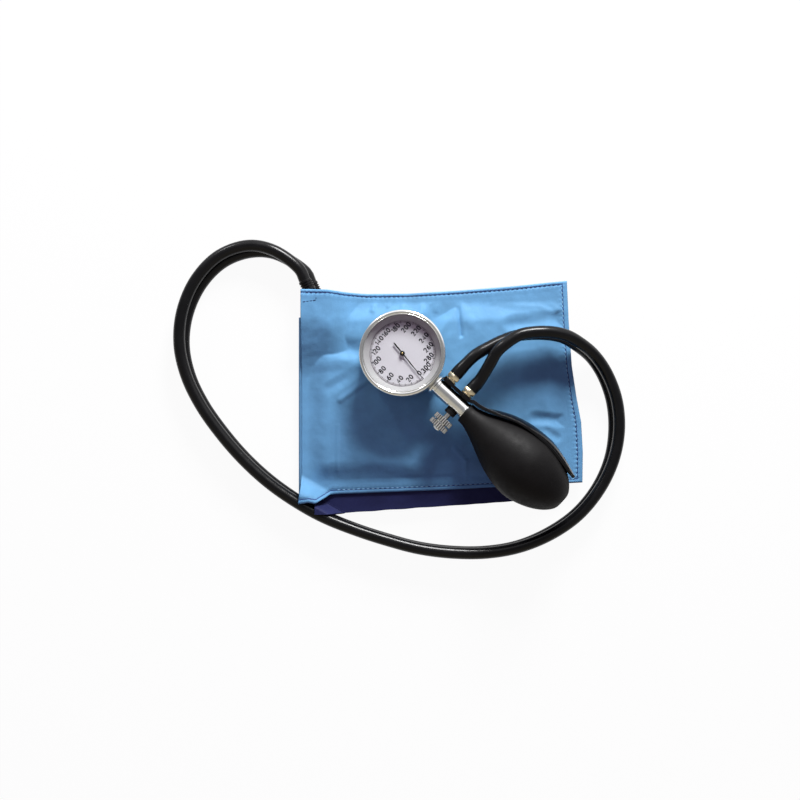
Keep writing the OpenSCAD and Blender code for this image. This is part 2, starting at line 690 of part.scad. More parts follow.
module valve_bonnet() {
    color([0.08, 0.08, 0.08]) head() knob_side() difference() {
        union() {
            translate([0, 0, seat_n + 0.2]) cylinder(r = bonnet_r, h = bonnet_end_n - seat_n - 0.2);
            translate([0, 0, bonnet_flange_n]) cylinder(r = bonnet_r + 1.2, h = bonnet_end_n - bonnet_flange_n);
        }
        cylinder(d = screw_d + 2 * run_gap, h = bonnet_end_n + 1);
        translate([0, 0, (bonnet_flange_n + bonnet_end_n) / 2]) rotate([0, 90, 0]) cylinder(r = 0.5, h = 6);
    }
}

module bonnet_seal() {
    color([0.05, 0.05, 0.05]) head() knob_side() translate([0, 0, neck_r]) difference() {
        cylinder(r = bonnet_r + 1.1, h = bonnet_flange_n - neck_r);
        translate([0, 0, -1]) cylinder(r = bonnet_r + seat_gap, h = 3);
    }
}

module valve_plug() {
    color([0.45, 0.15, 0.12]) head() knob_side() translate([0, 0, seat_n + rest_opening + 0.05])
        cylinder(d = screw_d - 0.6, h = plug_len);
}

module release_screw() {
    start = seat_n + rest_opening + plug_len + 0.1;
    color([0.72, 0.72, 0.74]) head() knob_side() translate([0, 0, start])
        cylinder(d = screw_d, h = knob_end_n - start);
}

module release_knob() {
    groove = 1.2;
    band = (knob_len - groove) / 2;
    tip_r = knob_d / 2;
    step = 360 / knob_teeth;
    color([0.8, 0.8, 0.82]) head() knob_side() translate([0, 0, knob_in_n]) difference() {
        union() {
            cylinder(r = tip_r - 1.2, h = knob_len);
            for (z = [0, band + groove]) translate([0, 0, z]) linear_extrude(band)
                polygon([for (k = [0:knob_teeth - 1], half = [0, 1])
                    let (r = half == 0 ? tip_r : tip_r - 0.6, a = (k + half / 2) * step) r * [cos(a), sin(a)]]);
        }
        translate([0, 0, -1]) cylinder(d = screw_d + 2 * seat_gap, h = knob_len + 2);
    }
}

module knob_cap() {
    color([0.75, 0.75, 0.77]) head() knob_side() translate([0, 0, knob_end_n]) difference() {
        cylinder(d = 6, h = cap_t);
        translate([-4, -0.4, cap_t - 0.6]) cube([8, 0.8, 1]);
    }
}

module squeeze_bulb() {
    steps = 30;
    outer = [for (i = [0:steps]) let (u = bulb_len * i / steps) [bulb_r(u), u]];
    cavity_from = spigot_len + 2;
    cavity_to = bulb_len - 11;
    inner = [for (i = [0:steps]) let (u = mix(cavity_from, cavity_to, i / steps))
        [bulb_r(u) - bulb_wall * (i == steps ? 1.6 : 1), u]];
    color([0.09, 0.09, 0.1]) head() on_bulb(0) rotate_extrude() difference() {
        polygon(concat([[0, 0]], outer, [[0, bulb_len]]));
        polygon(concat([[0, cavity_from]], inner, [[0, cavity_to]]));
        translate([0, -1]) square([barb_r + seat_gap, cavity_from + 1.1]);
        translate([0, cavity_to - 0.1]) square([inlet_r + seat_gap, bulb_len]);
    }
}

module inlet_housing() {
    color("silver") head() on_bulb(0) difference() {
        translate([0, 0, bulb_len - 10.5]) cylinder(r = inlet_r, h = 10.5);
        translate([0, 0, bulb_len - 11]) cylinder(r = inlet_bore_r, h = 11 - (bulb_len - inlet_seat_at));
        translate([0, 0, inlet_seat_at - 1]) cylinder(r = seat_hole_r, h = 4);
        translate([0, 0, inlet_seat_at + inlet_seat_t]) cylinder(r = inlet_bore_r, h = 3);
    }
}

module inlet_disc() {
    color([0.5, 0.2, 0.15]) head() on_bulb(inlet_seat_at - disc_t - 0.1) cylinder(r = disc_r, h = disc_t);
}

module inlet_retainer() {
    color("silver") bulb_ring(inlet_seat_at - 3.6, inlet_bore_r - seat_gap, disc_r - 0.7, 1);
}

module inlet_filter() {
    color([0.6, 0.6, 0.6]) head() on_bulb(inlet_seat_at + inlet_seat_t + 0.1)
        cylinder(r = inlet_bore_r - seat_gap, h = 0.6);
}

// Gauge

module stem_collar() {
    start = -gauge_reach + boss_reach + 0.05;
    first = 1.7;
    color([0.75, 0.75, 0.77]) head() difference() {
        union() {
            along_neck(start) cylinder(r = 7.75, h = first);
            along_neck(start) cylinder(r = neck_r - 0.1, h = -neck_len - start - 0.05);
        }
        along_neck(start - 1) cylinder(r = stem_r + seat_gap, h = 6);
    }
}

module gauge_case() {
    corner = 3;
    color([0.72, 0.72, 0.74]) gauge() difference() {
        union() {
            rotate_extrude() difference() {
                union() {
                    translate([0, -case_back]) square([case_r - corner, 3]);
                    translate([0, -case_back + corner]) square([case_r, case_top + case_back - corner]);
                    translate([case_r - corner, -case_back + corner]) circle(r = corner);
                }
                translate([0, back_in]) square([case_in_r, ledge_z - ledge_t - back_in]);
                translate([0, ledge_z - ledge_t - 1]) square([ledge_in_r, 20]);
                translate([0, ledge_z]) square([case_in_r, 20]);
            }
            along_neck(case_in_r + 0.4) cylinder(r = boss_r, h = boss_reach - case_in_r - 0.4);
        }
        along_neck(case_in_r - 6) cylinder(r = stem_r + seat_gap, h = 14);
    }
}

module gauge_inlet_block() {
    inner = case_in_r - 6;
    color("goldenrod") gauge() difference() {
        intersection() {
            translate([inner, -5, back_in]) cube([6, 10, 5.5 - back_in]);
            translate([0, 0, back_in]) cylinder(r = case_in_r - 0.1, h = 20);
        }
        along_neck(case_in_r - 4.6) cylinder(r = stem_r + seat_gap, h = 8);
        along_neck(inner + 0.7) cylinder(r = gauge_bore_r, h = 3);
        translate([inner + 1.6, 0, back_in + 0.5]) cylinder(r = 0.7, h = -back_in);
        along_neck(inner - 1) translate([-back_in - 0.9, 0, 0]) cylinder(r = 0.8, h = 3);
    }
}

module capsule_tube() {
    color("goldenrod") gauge() along_neck(3) translate([-back_in - 0.9, 0, 0])
        cylinder(r = 0.75, h = case_in_r - 8.5);
}

module capsule_base() {
    color("goldenrod") gauge() difference() {
        translate([0, 0, back_in]) cylinder(r = 4, h = capsule_z - back_in);
        along_neck(-0.6) translate([-back_in - 0.9, 0, 0]) cylinder(r = 0.8, h = 6);
        translate([0, 0, back_in + 0.9]) cylinder(r = 0.6, h = 3);
    }
}

// Half profile of the capsule: two corrugated discs joined at their rims
function capsule_wave(r) = 0.35 * sin(r * 72);
capsule_rim = case_in_r - capsule_room;
capsule_steps = [for (r = [2:1:capsule_rim - 2]) r];
function capsule_side(sign, inset) = [for (r = capsule_steps)
    [r, capsule_z + capsule_h / 2 + sign * (capsule_h / 2 - 0.4 - inset + capsule_wave(r))]];
function flip(list) = [for (i = [len(list) - 1:-1:0]) list[i]];

module pressure_capsule() {
    mid = capsule_z + capsule_h / 2;
    color([0.72, 0.6, 0.35]) gauge() rotate_extrude() difference() {
        polygon(concat([[0, capsule_z], [2, capsule_z]], capsule_side(-1, 0),
            [[capsule_rim, mid - 0.5], [capsule_rim, mid + 0.5]],
            flip(capsule_side(1, 0)), [[2, capsule_z + capsule_h], [0, capsule_z + capsule_h]]));
        polygon(concat([[0, capsule_z + 1]], capsule_side(-1, capsule_wall),
            [[capsule_rim - 1, mid]], flip(capsule_side(1, capsule_wall)), [[0, capsule_z + capsule_h - 1]]));
        translate([0, capsule_z - 1]) square([0.6, 2.5]);
    }
}

module capsule_post() {
    start = capsule_z + capsule_h + 0.05;
    color("silver") gauge() {
        translate([0, 0, start]) cylinder(r = 1.8, h = 0.9);
        translate([0, 0, start]) cylinder(r = 1.2, h = 2.6);
        translate([0, 0, start]) cylinder(r = 0.5, h = post_top - start);
    }
}

module round_spots(angles, radius) {
    for (a = angles) rotate([0, 0, a]) translate([radius, 0, 0]) children();
}

module frame_posts() {
    color("goldenrod") gauge() round_spots(post_spots, plate_r - 2) translate([0, 0, back_in])
        cylinder(r = 1.5, h = base_z - back_in);
}

module base_plate() {
    color([0.8, 0.68, 0.4]) gauge() difference() {
        translate([0, 0, base_z]) cylinder(r = plate_r, h = plate_t);
        translate([0, 0, base_z - 1]) cylinder(r = 2.2, h = 3);
        translate([case_in_r - 6.5, -5.5, base_z - 1]) cube([10, 11, 3]);
        translate([sector_x, sector_y, base_z - 1]) cylinder(r = arbor_r + run_gap, h = 3);
    }
}

// The top plate's middle disc, its arms and the round ends that the pillars carry
plate_hub_r = 6;
plate_arm_w = 4.8;
plate_foot_r = 3;

module top_plate() {
    color([0.8, 0.68, 0.4]) gauge() difference() {
        translate([0, 0, top_z]) linear_extrude(plate_t) {
            circle(r = plate_hub_r);
            for (a = pillar_spots) rotate(a) translate([1, -plate_arm_w / 2]) square([pillar_r - 1, plate_arm_w]);
            for (a = pillar_spots) rotate(a) translate([pillar_r, 0]) circle(r = plate_foot_r);
            translate([sector_x, sector_y]) circle(r = 2.5);
            translate([sector_x - 2, sector_y]) square([4, -sector_y]);
        }
        translate([0, 0, top_z - 1]) cylinder(r = arbor_r + run_gap, h = 3);
        translate([sector_x, sector_y, top_z - 1]) cylinder(r = arbor_r + run_gap, h = 3);
    }
}

module plate_pillars() {
    color("goldenrod") gauge() round_spots(pillar_spots, pillar_r) translate([0, 0, base_z + plate_t])
        cylinder(r = 1.5, h = top_z - base_z - plate_t);
}

// The plate screws' heads and their slots
screw_head_r = 1.4;
screw_head_t = 0.7;
screw_slot = 0.4;

module plate_screws() {
    color("silver") gauge() round_spots(pillar_spots, pillar_r) translate([0, 0, top_z + plate_t]) difference() {
        cylinder(r = screw_head_r, h = screw_head_t);
        translate([-screw_head_r - 1, -screw_slot / 2, screw_head_t / 2])
            cube([2 * screw_head_r + 2, screw_slot, screw_head_t]);
    }
}

module pinion_bridge() {
    foot = base_z + plate_t;
    color([0.8, 0.68, 0.4]) gauge() difference() {
        union() {
            translate([-9, -1.5, bridge_z]) cube([10.4, 3, 0.7]);
            translate([-9, -1.5, foot]) cube([2.4, 3, bridge_z - foot]);
        }
        translate([0, 0, bridge_z - 1]) cylinder(r = arbor_r + run_gap, h = 3);
    }
}

// Gear teeth with involute flanks

// Angle swept by the involute between the base circle and a radius
function involute_angle(r, base) = let (k = max(1, r / base)) 180 / PI * sqrt(k * k - 1) - acos(1 / k);

// Half the tooth's angle at a radius
function tooth_half(teeth, r) =
    let (pitch = gear_m * teeth / 2, base = pitch * cos(pressure_angle))
    let (at_pitch = 90 / teeth - gear_backlash / 4 / pitch * 180 / PI)
    at_pitch + involute_angle(pitch, base) - involute_angle(r, base);

function tooth(teeth, mid) =
    let (pitch = gear_m * teeth / 2, root = pitch - gear_m * gear_dedendum, tip = pitch + gear_m * gear_addendum)
    let (radii = [for (k = [0:4]) mix(root, tip, k / 4)])
    concat(
        [for (r = radii) let (a = mid - tooth_half(teeth, r)) r * [cos(a), sin(a)]],
        [for (k = [4:-1:0]) let (r = radii[k], a = mid + tooth_half(teeth, r)) r * [cos(a), sin(a)]]);

module pinion() {
    step = 360 / pinion_teeth;
    color("goldenrod") gauge() difference() {
        translate([0, 0, gear_z - 0.2]) linear_extrude(gear_t + 0.4)
            polygon([for (k = [0:pinion_teeth - 1]) each tooth(pinion_teeth, mesh_angle + 180 + k * step)]);
        translate([0, 0, gear_z - 1]) cylinder(r = arbor_r + seat_gap, h = 3);
    }
}

module pinion_arbor() {
    color("silver") gauge() translate([0, 0, bridge_z + 0.1])
        cylinder(r = arbor_r, h = pointer_z + pointer_t + 0.6 - bridge_z - 0.1);
}

module sector_gear() {
    step = 360 / sector_teeth;
    first = -ceil((sector_swing + 5) / step);
    last = 2;
    root = sector_r - gear_m * gear_dedendum;
    color([0.8, 0.68, 0.4]) gauge() translate([sector_x, sector_y, 0]) {
        translate([0, 0, gear_z]) linear_extrude(gear_t) difference() {
            union() {
                polygon(concat(
                    [[0, 0]],
                    [for (k = [first:last]) each tooth(sector_teeth, mesh_angle + (k + 0.5) * step)]));
                circle(r = 1.3);
                rotate(270 - sector_swing / 2) translate([0, -0.7]) square([tail_len + 0.5, 1.4]);
            }
            circle(r = arbor_r + seat_gap);
            intersection() {
                difference() {
                    circle(r = root - 1.8);
                    circle(r = 4);
                }
                polygon([[0, 0], for (a = [first + 4, last - 4]) 14 * [cos(mesh_angle + a * step), sin(mesh_angle + a * step)]]);
            }
        }
        rotate([0, 0, 270 - sector_swing / 2]) translate([tail_len, 0, 2.2])
            cylinder(r = tail_pin_r, h = gear_z - 2.2 + 0.2);
    }
}

module sector_arbor() {
    color("silver") gauge() translate([sector_x, sector_y, base_z + 0.3])
        cylinder(r = arbor_r, h = top_z + plate_t - base_z - 0.6);
}

module rocking_shaft() {
    shaft_from = sector_y - 4.1;
    color("silver") gauge() {
        translate([shaft_x, shaft_from, shaft_z]) rotate([-90, 0, 0]) cylinder(r = shaft_r, h = 4 - shaft_from);
        translate([0, -0.9, shaft_z - arm_drop - arm_t / 2]) cube([shaft_x, 1.8, arm_t]);
        translate([shaft_x - blade_t / 2, blade_y - 0.9, shaft_z]) cube([blade_t, 1.8, blade_top - shaft_z]);
    }
}

module shaft_brackets() {
    foot = base_z + plate_t;
    color([0.8, 0.68, 0.4]) gauge() for (y = [sector_y - 4, 2.4]) difference() {
        translate([shaft_x - 1.5, y, foot]) cube([3, 1.2, shaft_z + 1.2 - foot]);
        translate([shaft_x, y - 1, shaft_z]) rotate([-90, 0, 0]) cylinder(r = shaft_r + run_gap, h = 4);
    }
}

// Flat spiral from the pinion's arbor to its anchor on the top plate's underside
spring_turns = 3;
spring_in_r = arbor_r + 0.35;
spring_out_r = 4.6;
spring_t = 0.14;
spring_anchor_a = 150;
function spiral(side) = [for (a = [0:12:360 * spring_turns])
    let (r = mix(spring_in_r, spring_out_r, a / (360 * spring_turns)) + side * spring_t / 2)
    r * [cos(a + spring_anchor_a), sin(a + spring_anchor_a)]];

module hairspring() {
    color("silver") gauge() translate([0, 0, top_z + plate_t + 0.35]) linear_extrude(0.5)
        polygon(concat(spiral(-1), flip(spiral(1))));
}

module spring_anchor() {
    color("goldenrod") gauge() rotate([0, 0, spring_anchor_a]) translate([spring_out_r + 0.6, 0, top_z + plate_t])
        cylinder(r = 0.45, h = 1.1);
}

module dial() {
    color([0.95, 0.95, 0.93]) gauge() difference() {
        translate([0, 0, ledge_z]) cylinder(r = case_in_r - 0.1, h = dial_t);
        translate([0, 0, ledge_z - 1]) cylinder(r = 1.2, h = 3);
    }
}

module dial_rim() {
    z = ledge_z + dial_t;
    h = lens_z - z;
    color([0.85, 0.85, 0.84]) gauge() translate([0, 0, z]) rotate_extrude() polygon([
        [dial_r, 0], [case_in_r - 0.1, 0], [case_in_r - 0.1, h], [case_in_r - 0.9, h], [dial_r, 0.5]
    ]);
}

module pointer() {
    color([0.05, 0.05, 0.05]) gauge() rotate([0, 0, dial_zero]) translate([0, 0, pointer_z]) linear_extrude(pointer_t)
        difference() {
            polygon([
                [pointer_len, 0.12], [0, 0.6], [-3, 0.5], [-4.5, 1.1], [-pointer_tail, 0.9],
                [-pointer_tail, -0.9], [-4.5, -1.1], [-3, -0.5], [0, -0.6], [pointer_len, -0.12]
            ]);
            circle(r = arbor_r + 0.01);
        }
}

module pointer_hub() {
    color([0.75, 0.6, 0.3]) gauge() translate([0, 0, pointer_z + pointer_t]) difference() {
        cylinder(r = 1.75, h = 0.9);
        translate([0, 0, -1]) cylinder(r = arbor_r + seat_gap, h = 1.65);
    }
}

module bezel_gasket() {
    color([0.1, 0.1, 0.1]) gauge() translate([0, 0, case_top]) difference() {
        cylinder(r = case_r - 0.1, h = lens_z - case_top);
        translate([0, 0, -1]) cylinder(r = case_in_r, h = 4);
    }
}

module lens() {
    color([0.85, 0.92, 0.95, 0.3]) gauge() translate([0, 0, lens_z]) cylinder(r = case_r - 0.1, h = lens_t);
}

module bezel() {
    round_r = 1.6;
    lip_in = case_in_r - 0.7;
    color([0.82, 0.82, 0.84]) gauge() rotate_extrude() difference() {
        union() {
            translate([case_r + seat_gap, bezel_foot]) square([bezel_r - case_r - seat_gap, face_h - round_r - bezel_foot]);
            translate([lip_in + 0.5, lens_top + 0.02]) square([bezel_r - round_r - lip_in - 0.5, face_h - lens_top - 0.02]);
            translate([bezel_r - round_r, face_h - round_r]) circle(r = round_r);
            translate([lip_in + 0.45, lens_top + 0.45 + 0.02]) circle(r = 0.45);
        }
        translate([0, bezel_foot - 1]) square([case_r + seat_gap, lens_top + 0.02 - bezel_foot + 1]);
    }
}

cuff_outer_sheet();
cuff_inner_sheet();
cuff_middle_layer();
cuff_bottom_layer();
hook_patch();
loop_patch();
bladder();
bladder_neck();
bladder_port_a();
bladder_port_b();
hose_a();
hose_b();
hose_fitting_a();
hose_fitting_b();
fitting_seals();
palm_lever();
valve_body();
outlet_seat();
outlet_disc();
outlet_cage();
valve_bonnet();
bonnet_seal();
valve_plug();
release_screw();
release_knob();
knob_cap();
squeeze_bulb();
inlet_housing();
inlet_disc();
inlet_retainer();
inlet_filter();
stem_collar();
gauge_case();
gauge_inlet_block();
capsule_tube();
capsule_base();
pressure_capsule();
capsule_post();
frame_posts();
base_plate();
top_plate();
plate_pillars();
plate_screws();
pinion_bridge();
pinion();
pinion_arbor();
sector_gear();
sector_arbor();
rocking_shaft();
shaft_brackets();
hairspring();
spring_anchor();
dial();
dial_rim();
pointer();
pointer_hub();
bezel_gasket();
lens();
bezel();
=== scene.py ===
"""Dressed model of a palm aneroid blood pressure gauge that lies on its folded arm cuff.

The set is seen from straight above. Every size is in millimetres until a piece is placed,
and every placing matrix ends in metres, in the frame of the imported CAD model. The head has
its own frame: its origin is the neck's bulb end, X runs to the bulb's tail, Y to the palm
lever and Z out of the dial.
"""

from __future__ import annotations

import logging
import math
from dataclasses import dataclass, field
from enum import Enum
from typing import Iterable, Sequence

import bmesh
import bpy
import numpy as np
from mathutils import Matrix, Vector, noise

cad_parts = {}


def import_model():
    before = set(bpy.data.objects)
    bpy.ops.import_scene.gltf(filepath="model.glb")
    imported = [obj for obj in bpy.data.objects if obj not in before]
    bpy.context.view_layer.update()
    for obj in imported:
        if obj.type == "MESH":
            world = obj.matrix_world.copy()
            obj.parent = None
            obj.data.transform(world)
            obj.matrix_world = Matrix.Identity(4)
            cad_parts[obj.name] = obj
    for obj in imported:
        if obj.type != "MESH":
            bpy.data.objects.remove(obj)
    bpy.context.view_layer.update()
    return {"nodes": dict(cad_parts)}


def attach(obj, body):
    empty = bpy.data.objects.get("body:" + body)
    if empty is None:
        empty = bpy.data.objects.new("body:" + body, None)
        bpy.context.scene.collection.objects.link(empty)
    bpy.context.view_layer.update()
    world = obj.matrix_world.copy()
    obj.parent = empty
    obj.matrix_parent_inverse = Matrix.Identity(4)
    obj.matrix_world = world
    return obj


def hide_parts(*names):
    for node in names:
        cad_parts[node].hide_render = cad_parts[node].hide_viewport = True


LOG = logging.getLogger("cuff_scene")
MM = 0.001
ROOT = "cuff_and_head"

Colour = tuple[float, float, float]
Outline = Sequence[tuple[float, float]]
Spot = tuple[float, float, float]
Value = bpy.types.NodeSocket


class Axis(Enum):
    """Directions in the head's frame that a turned piece can stand along."""

    TAIL = "tail"
    GAUGE = "gauge"
    LEVER = "lever"
    KNOB = "knob"


# ---- Frames -------------------------------------------------------------------------------


@dataclass(frozen=True)
class HeadFrame:
    """Where the head lies on the cuff, from the same sizes as the CAD model."""

    corner: tuple[float, float] = (16.0, -10.0)
    turn: float = 42.6
    bulb_radius: float = 24.3
    case_back: float = 13.0
    belly_at: float = 57.0
    gauge_reach: float = 59.1
    bezel_radius: float = 30.0
    crown_top: float = 12.8
    rest_gap: float = 0.3
    bulb_shift: float = 0.6

    def matrix(self) -> Matrix:
        """Return the head's frame as a matrix from its millimetres to metres."""
        reach = self.belly_at + self.gauge_reach + self.bezel_radius
        tilt = math.atan((self.bulb_radius - self.case_back) / reach)
        height = self.crown_top + self.rest_gap + self.bulb_radius * math.cos(tilt)
        height -= self.belly_at * math.sin(tilt)
        place = Matrix.Translation((*self.corner, height))
        turned = Matrix.Rotation(math.radians(-self.turn), 4, "Z")
        tilted = Matrix.Rotation(-tilt, 4, "Y")
        return Matrix.Scale(MM, 4) @ place @ turned @ tilted

    def gauge(self) -> Matrix:
        """Return the frame at the middle of the dial, at the height of the neck's axis."""
        return self.matrix() @ Matrix.Translation((-self.gauge_reach, 0.0, 0.0))

    def along(self, axis: Axis, at: float = 0.0) -> Matrix:
        """Return a frame whose Z runs along one of the head's directions.

        Args:
            axis: The direction that Z takes.
            at: The distance from the neck's bulb end towards the tail.

        Returns:
            A matrix from millimetres to metres.
        """
        quarter = math.pi / 2
        turns = {
            Axis.TAIL: Matrix.Translation((0, -self.bulb_shift, 0)) @ Matrix.Rotation(quarter, 4, "Y"),
            Axis.GAUGE: Matrix.Rotation(quarter, 4, "Y"),
            Axis.LEVER: Matrix.Rotation(-quarter, 4, "X"),
            Axis.KNOB: Matrix.Rotation(quarter, 4, "X"),
        }
        return self.matrix() @ Matrix.Translation((at, 0, 0)) @ turns[axis]


HEAD = HeadFrame()
CUFF_FRAME = Matrix.Scale(MM, 4)


# ---- Finishes -----------------------------------------------------------------------------


class Nodes:
    """A node tree under construction, with short calls for the nodes used here."""

    def __init__(self, tree: bpy.types.NodeTree) -> None:
        """Start with an existing tree."""
        self.tree = tree

    def node(self, kind: str, **settings: object) -> bpy.types.Node:
        """Add a node and set its own properties."""
        made = self.tree.nodes.new(kind)
        for key, value in settings.items():
            setattr(made, key, value)
        return made

    def link(self, source: Value, target: Value) -> None:
        """Join an output socket to an input socket."""
        self.tree.links.new(source, target)

    def math(self, operation: str, *values: object) -> Value:
        """Return a maths node's value for sockets or numbers."""
        made = self.node("ShaderNodeMath", operation=operation)
        for index, value in enumerate(values):
            if isinstance(value, Value):
                self.link(value, made.inputs[index])
            else:
                made.inputs[index].default_value = value
        return made.outputs[0]

    def ramp(self, value: Value, stops: Iterable[tuple[float, Colour]]) -> Value:
        """Return colours spread over a value by the given stops."""
        made = self.node("ShaderNodeValToRGB")
        elements = made.color_ramp.elements
        listed = list(stops)
        while len(elements) < len(listed):
            elements.new(0.5)
        for element, (position, colour) in zip(elements, listed):
            element.position = position
            element.color = (*colour, 1.0)
        self.link(value, made.inputs["Fac"])
        return made.outputs["Color"]

    def glow(self, kind: str, colour: Colour, strength: float) -> Value:
        """Return a background or an emission of one colour."""
        made = self.node(kind)
        made.inputs["Color"].default_value = (*colour, 1.0)
        made.inputs["Strength"].default_value = strength
        return made.outputs[0]

    def blend(self, share: Value, low: Value, high: Value) -> Value:
        """Return a mix of two shaders, with the second one's share."""
        made = self.node("ShaderNodeMixShader")
        for source, socket in ((share, 0), (low, 1), (high, 2)):
            self.link(source, made.inputs[socket])
        return made.outputs[0]


class Shader(Nodes):
    """A node material that holds one Principled shader."""

    def __init__(self, name: str) -> None:
        """Start the material."""
        self.material = bpy.data.materials.new(name)
        self.material.use_nodes = True
        super().__init__(self.material.node_tree)
        self.surface = self.tree.nodes["Principled BSDF"]

    def feed(self, socket: str, source: Value) -> None:
        """Join a value to one of the shader's own sockets."""
        self.link(source, self.surface.inputs[socket])

    def put(self, **values: object) -> None:
        """Set values on the shader's own sockets, with underscores for spaces."""
        for key, value in values.items():
            socket = self.surface.inputs[key.replace("_", " ")]
            if isinstance(value, tuple) and len(value) == 3 and socket.type == "RGBA":
                value = (*value, 1.0)
            socket.default_value = value

    def place(self) -> Value:
        """Return the object coordinates, in metres."""
        return self.node("ShaderNodeTexCoord").outputs["Object"]

    def noise(self, size_mm: float, detail: float) -> Value:
        """Return a noise value whose blobs are about size_mm across."""
        made = self.node("ShaderNodeTexNoise")
        made.inputs["Scale"].default_value = 1.0 / (size_mm * MM)
        made.inputs["Detail"].default_value = detail
        self.link(self.place(), made.inputs["Vector"])
        return made.outputs["Fac"]

    def waves(self, pitch_mm: float, direction: str) -> Value:
        """Return parallel bands across one axis of the object coordinates."""
        made = self.node("ShaderNodeTexWave", wave_type="BANDS", bands_direction=direction)
        made.inputs["Scale"].default_value = 2 * math.pi / (20.0 * pitch_mm * MM)
        self.link(self.place(), made.inputs["Vector"])
        return made.outputs["Fac"]

    def spread(self, value: Value, low: float, high: float) -> Value:
        """Return a value from 0.3 to 0.7 mapped onto the given range."""
        made = self.node("ShaderNodeMapRange")
        for name, number in (("From Min", 0.3), ("From Max", 0.7), ("To Min", low), ("To Max", high)):
            made.inputs[name].default_value = number
        self.link(value, made.inputs["Value"])
        return made.outputs["Result"]

    def tint(
        self, colour: Colour, noise: tuple[float, float], stops: tuple[float, float], dark: float, light: float
    ) -> None:
        """Colour the surface with blotches.

        Args:
            colour: The colour that is made darker and lighter.
            noise: The blotches' size in millimetres and their detail.
            stops: Where the dark and the light colour stand on the noise.
            dark: The factor of the dark colour.
            light: The factor of the light colour.
        """
        shades = [(stops[0], shade(colour, dark)), (stops[1], shade(colour, light))]
        self.feed("Base Color", self.ramp(self.noise(*noise), shades))

    def gloss(self, noise: tuple[float, float], low: float, high: float) -> None:
        """Let the surface's roughness wander between two values over a noise's size and detail."""
        self.feed("Roughness", self.spread(self.noise(*noise), low, high))

    def bump(
        self,
        height: Value,
        depth_mm: float,
        strength: float = 1.0,
        under: Value | None = None,
    ) -> Value:
        """Return a normal raised by a height of at most depth_mm."""
        made = self.node("ShaderNodeBump")
        made.inputs["Strength"].default_value = strength
        made.inputs["Distance"].default_value = depth_mm * MM
        self.link(height, made.inputs["Height"])
        if under is not None:
            self.link(under, made.inputs["Normal"])
        return made.outputs["Normal"]


def shade(colour: Colour, factor: float) -> Colour:
    """Return a colour made lighter or darker by a factor."""
    return tuple(min(1.0, channel * factor) for channel in colour)


@dataclass(frozen=True)
class Finish:
    """A surface finish: its colour and how it takes light."""

    name: str
    colour: Colour
    roughness: float = 0.5

    @property
    def label(self) -> str:
        """Return the material's name, which no material of the frame has."""
        return f"{self.name}_look"

    def material(self) -> bpy.types.Material:
        """Return the finish's material, built on first use."""
        known = bpy.data.materials.get(self.label)
        return known or self.build().material

    def build(self) -> Shader:
        """Build the node material."""
        raise NotImplementedError


@dataclass(frozen=True)
class Nylon(Finish):
    """Satin woven cloth with a fine weave, soft mottling and a sheen."""

    roughness: float = 0.62
    weave_mm: float = 0.45
    mottle: float = 0.11
    sheen: float = 0.1

    def build(self) -> Shader:
        """Build a weave from two crossed bands over mottled colour."""
        shader = Shader(self.label)
        shader.tint(self.colour, (16.0, 4.0), (0.3, 0.7), 1 - self.mottle, 1 + self.mottle)
        threads = shader.math("MAXIMUM", shader.waves(self.weave_mm, "X"), shader.waves(self.weave_mm, "Y"))
        crumple = shader.bump(shader.noise(5.0, 5.0), 0.4, 0.5)
        shader.feed("Normal", shader.bump(threads, 0.03, 0.35, crumple))
        shader.gloss((2.5, 3.0), self.roughness - 0.06, self.roughness + 0.08)
        shader.put(Sheen_Weight=self.sheen, Sheen_Roughness=0.5, Specular_IOR_Level=0.2)
        return shader


@dataclass(frozen=True)
class Rubber(Finish):
    """Moulded rubber with a fine grain and uneven gloss."""

    grain_mm: float = 0.5
    grain_depth: float = 0.03
    shine: float = 0.3

    def build(self) -> Shader:
        """Build grain and blotches of gloss over a nearly even colour."""
        shader = Shader(self.label)
        shader.tint(self.colour, (9.0, 3.0), (0.35, 0.7), 0.85, 1.2)
        shader.gloss((4.0, 4.0), self.roughness - 0.05, self.roughness + 0.07)
        shader.feed("Normal", shader.bump(shader.noise(self.grain_mm, 2.0), self.grain_depth, 0.6))
        shader.put(Specular_IOR_Level=self.shine)
        return shader


@dataclass(frozen=True)
class Plated(Finish):
    """Polished or satin plated metal with faint wipe marks."""

    roughness: float = 0.12
    wipe: float = 0.06

    def build(self) -> Shader:
        """Build metal whose gloss wanders a little."""
        shader = Shader(self.label)
        shader.tint(self.colour, (6.0, 3.0), (0.35, 0.7), 0.94, 1.04)
        shader.gloss((1.8, 4.0), self.roughness, self.roughness + self.wipe)
        shader.feed("Normal", shader.bump(shader.noise(0.3, 3.0), 0.004, 0.3))
        shader.put(Metallic=1.0)
        return shader


@dataclass(frozen=True)
class GlossPlastic(Finish):
    """Hard moulded plastic with a clear gloss."""

    roughness: float = 0.2
    shine: float = 0.4

    def build(self) -> Shader:
        """Build even colour with faint ripples in the gloss."""
        shader = Shader(self.label)
        shader.tint(self.colour, (12.0, 2.0), (0.3, 0.7), 0.9, 1.1)
        shader.gloss((3.0, 3.0), self.roughness - 0.04, self.roughness + 0.05)
        shader.feed("Normal", shader.bump(shader.noise(1.5, 2.0), 0.01, 0.4))
        shader.put(Specular_IOR_Level=self.shine)
        return shader


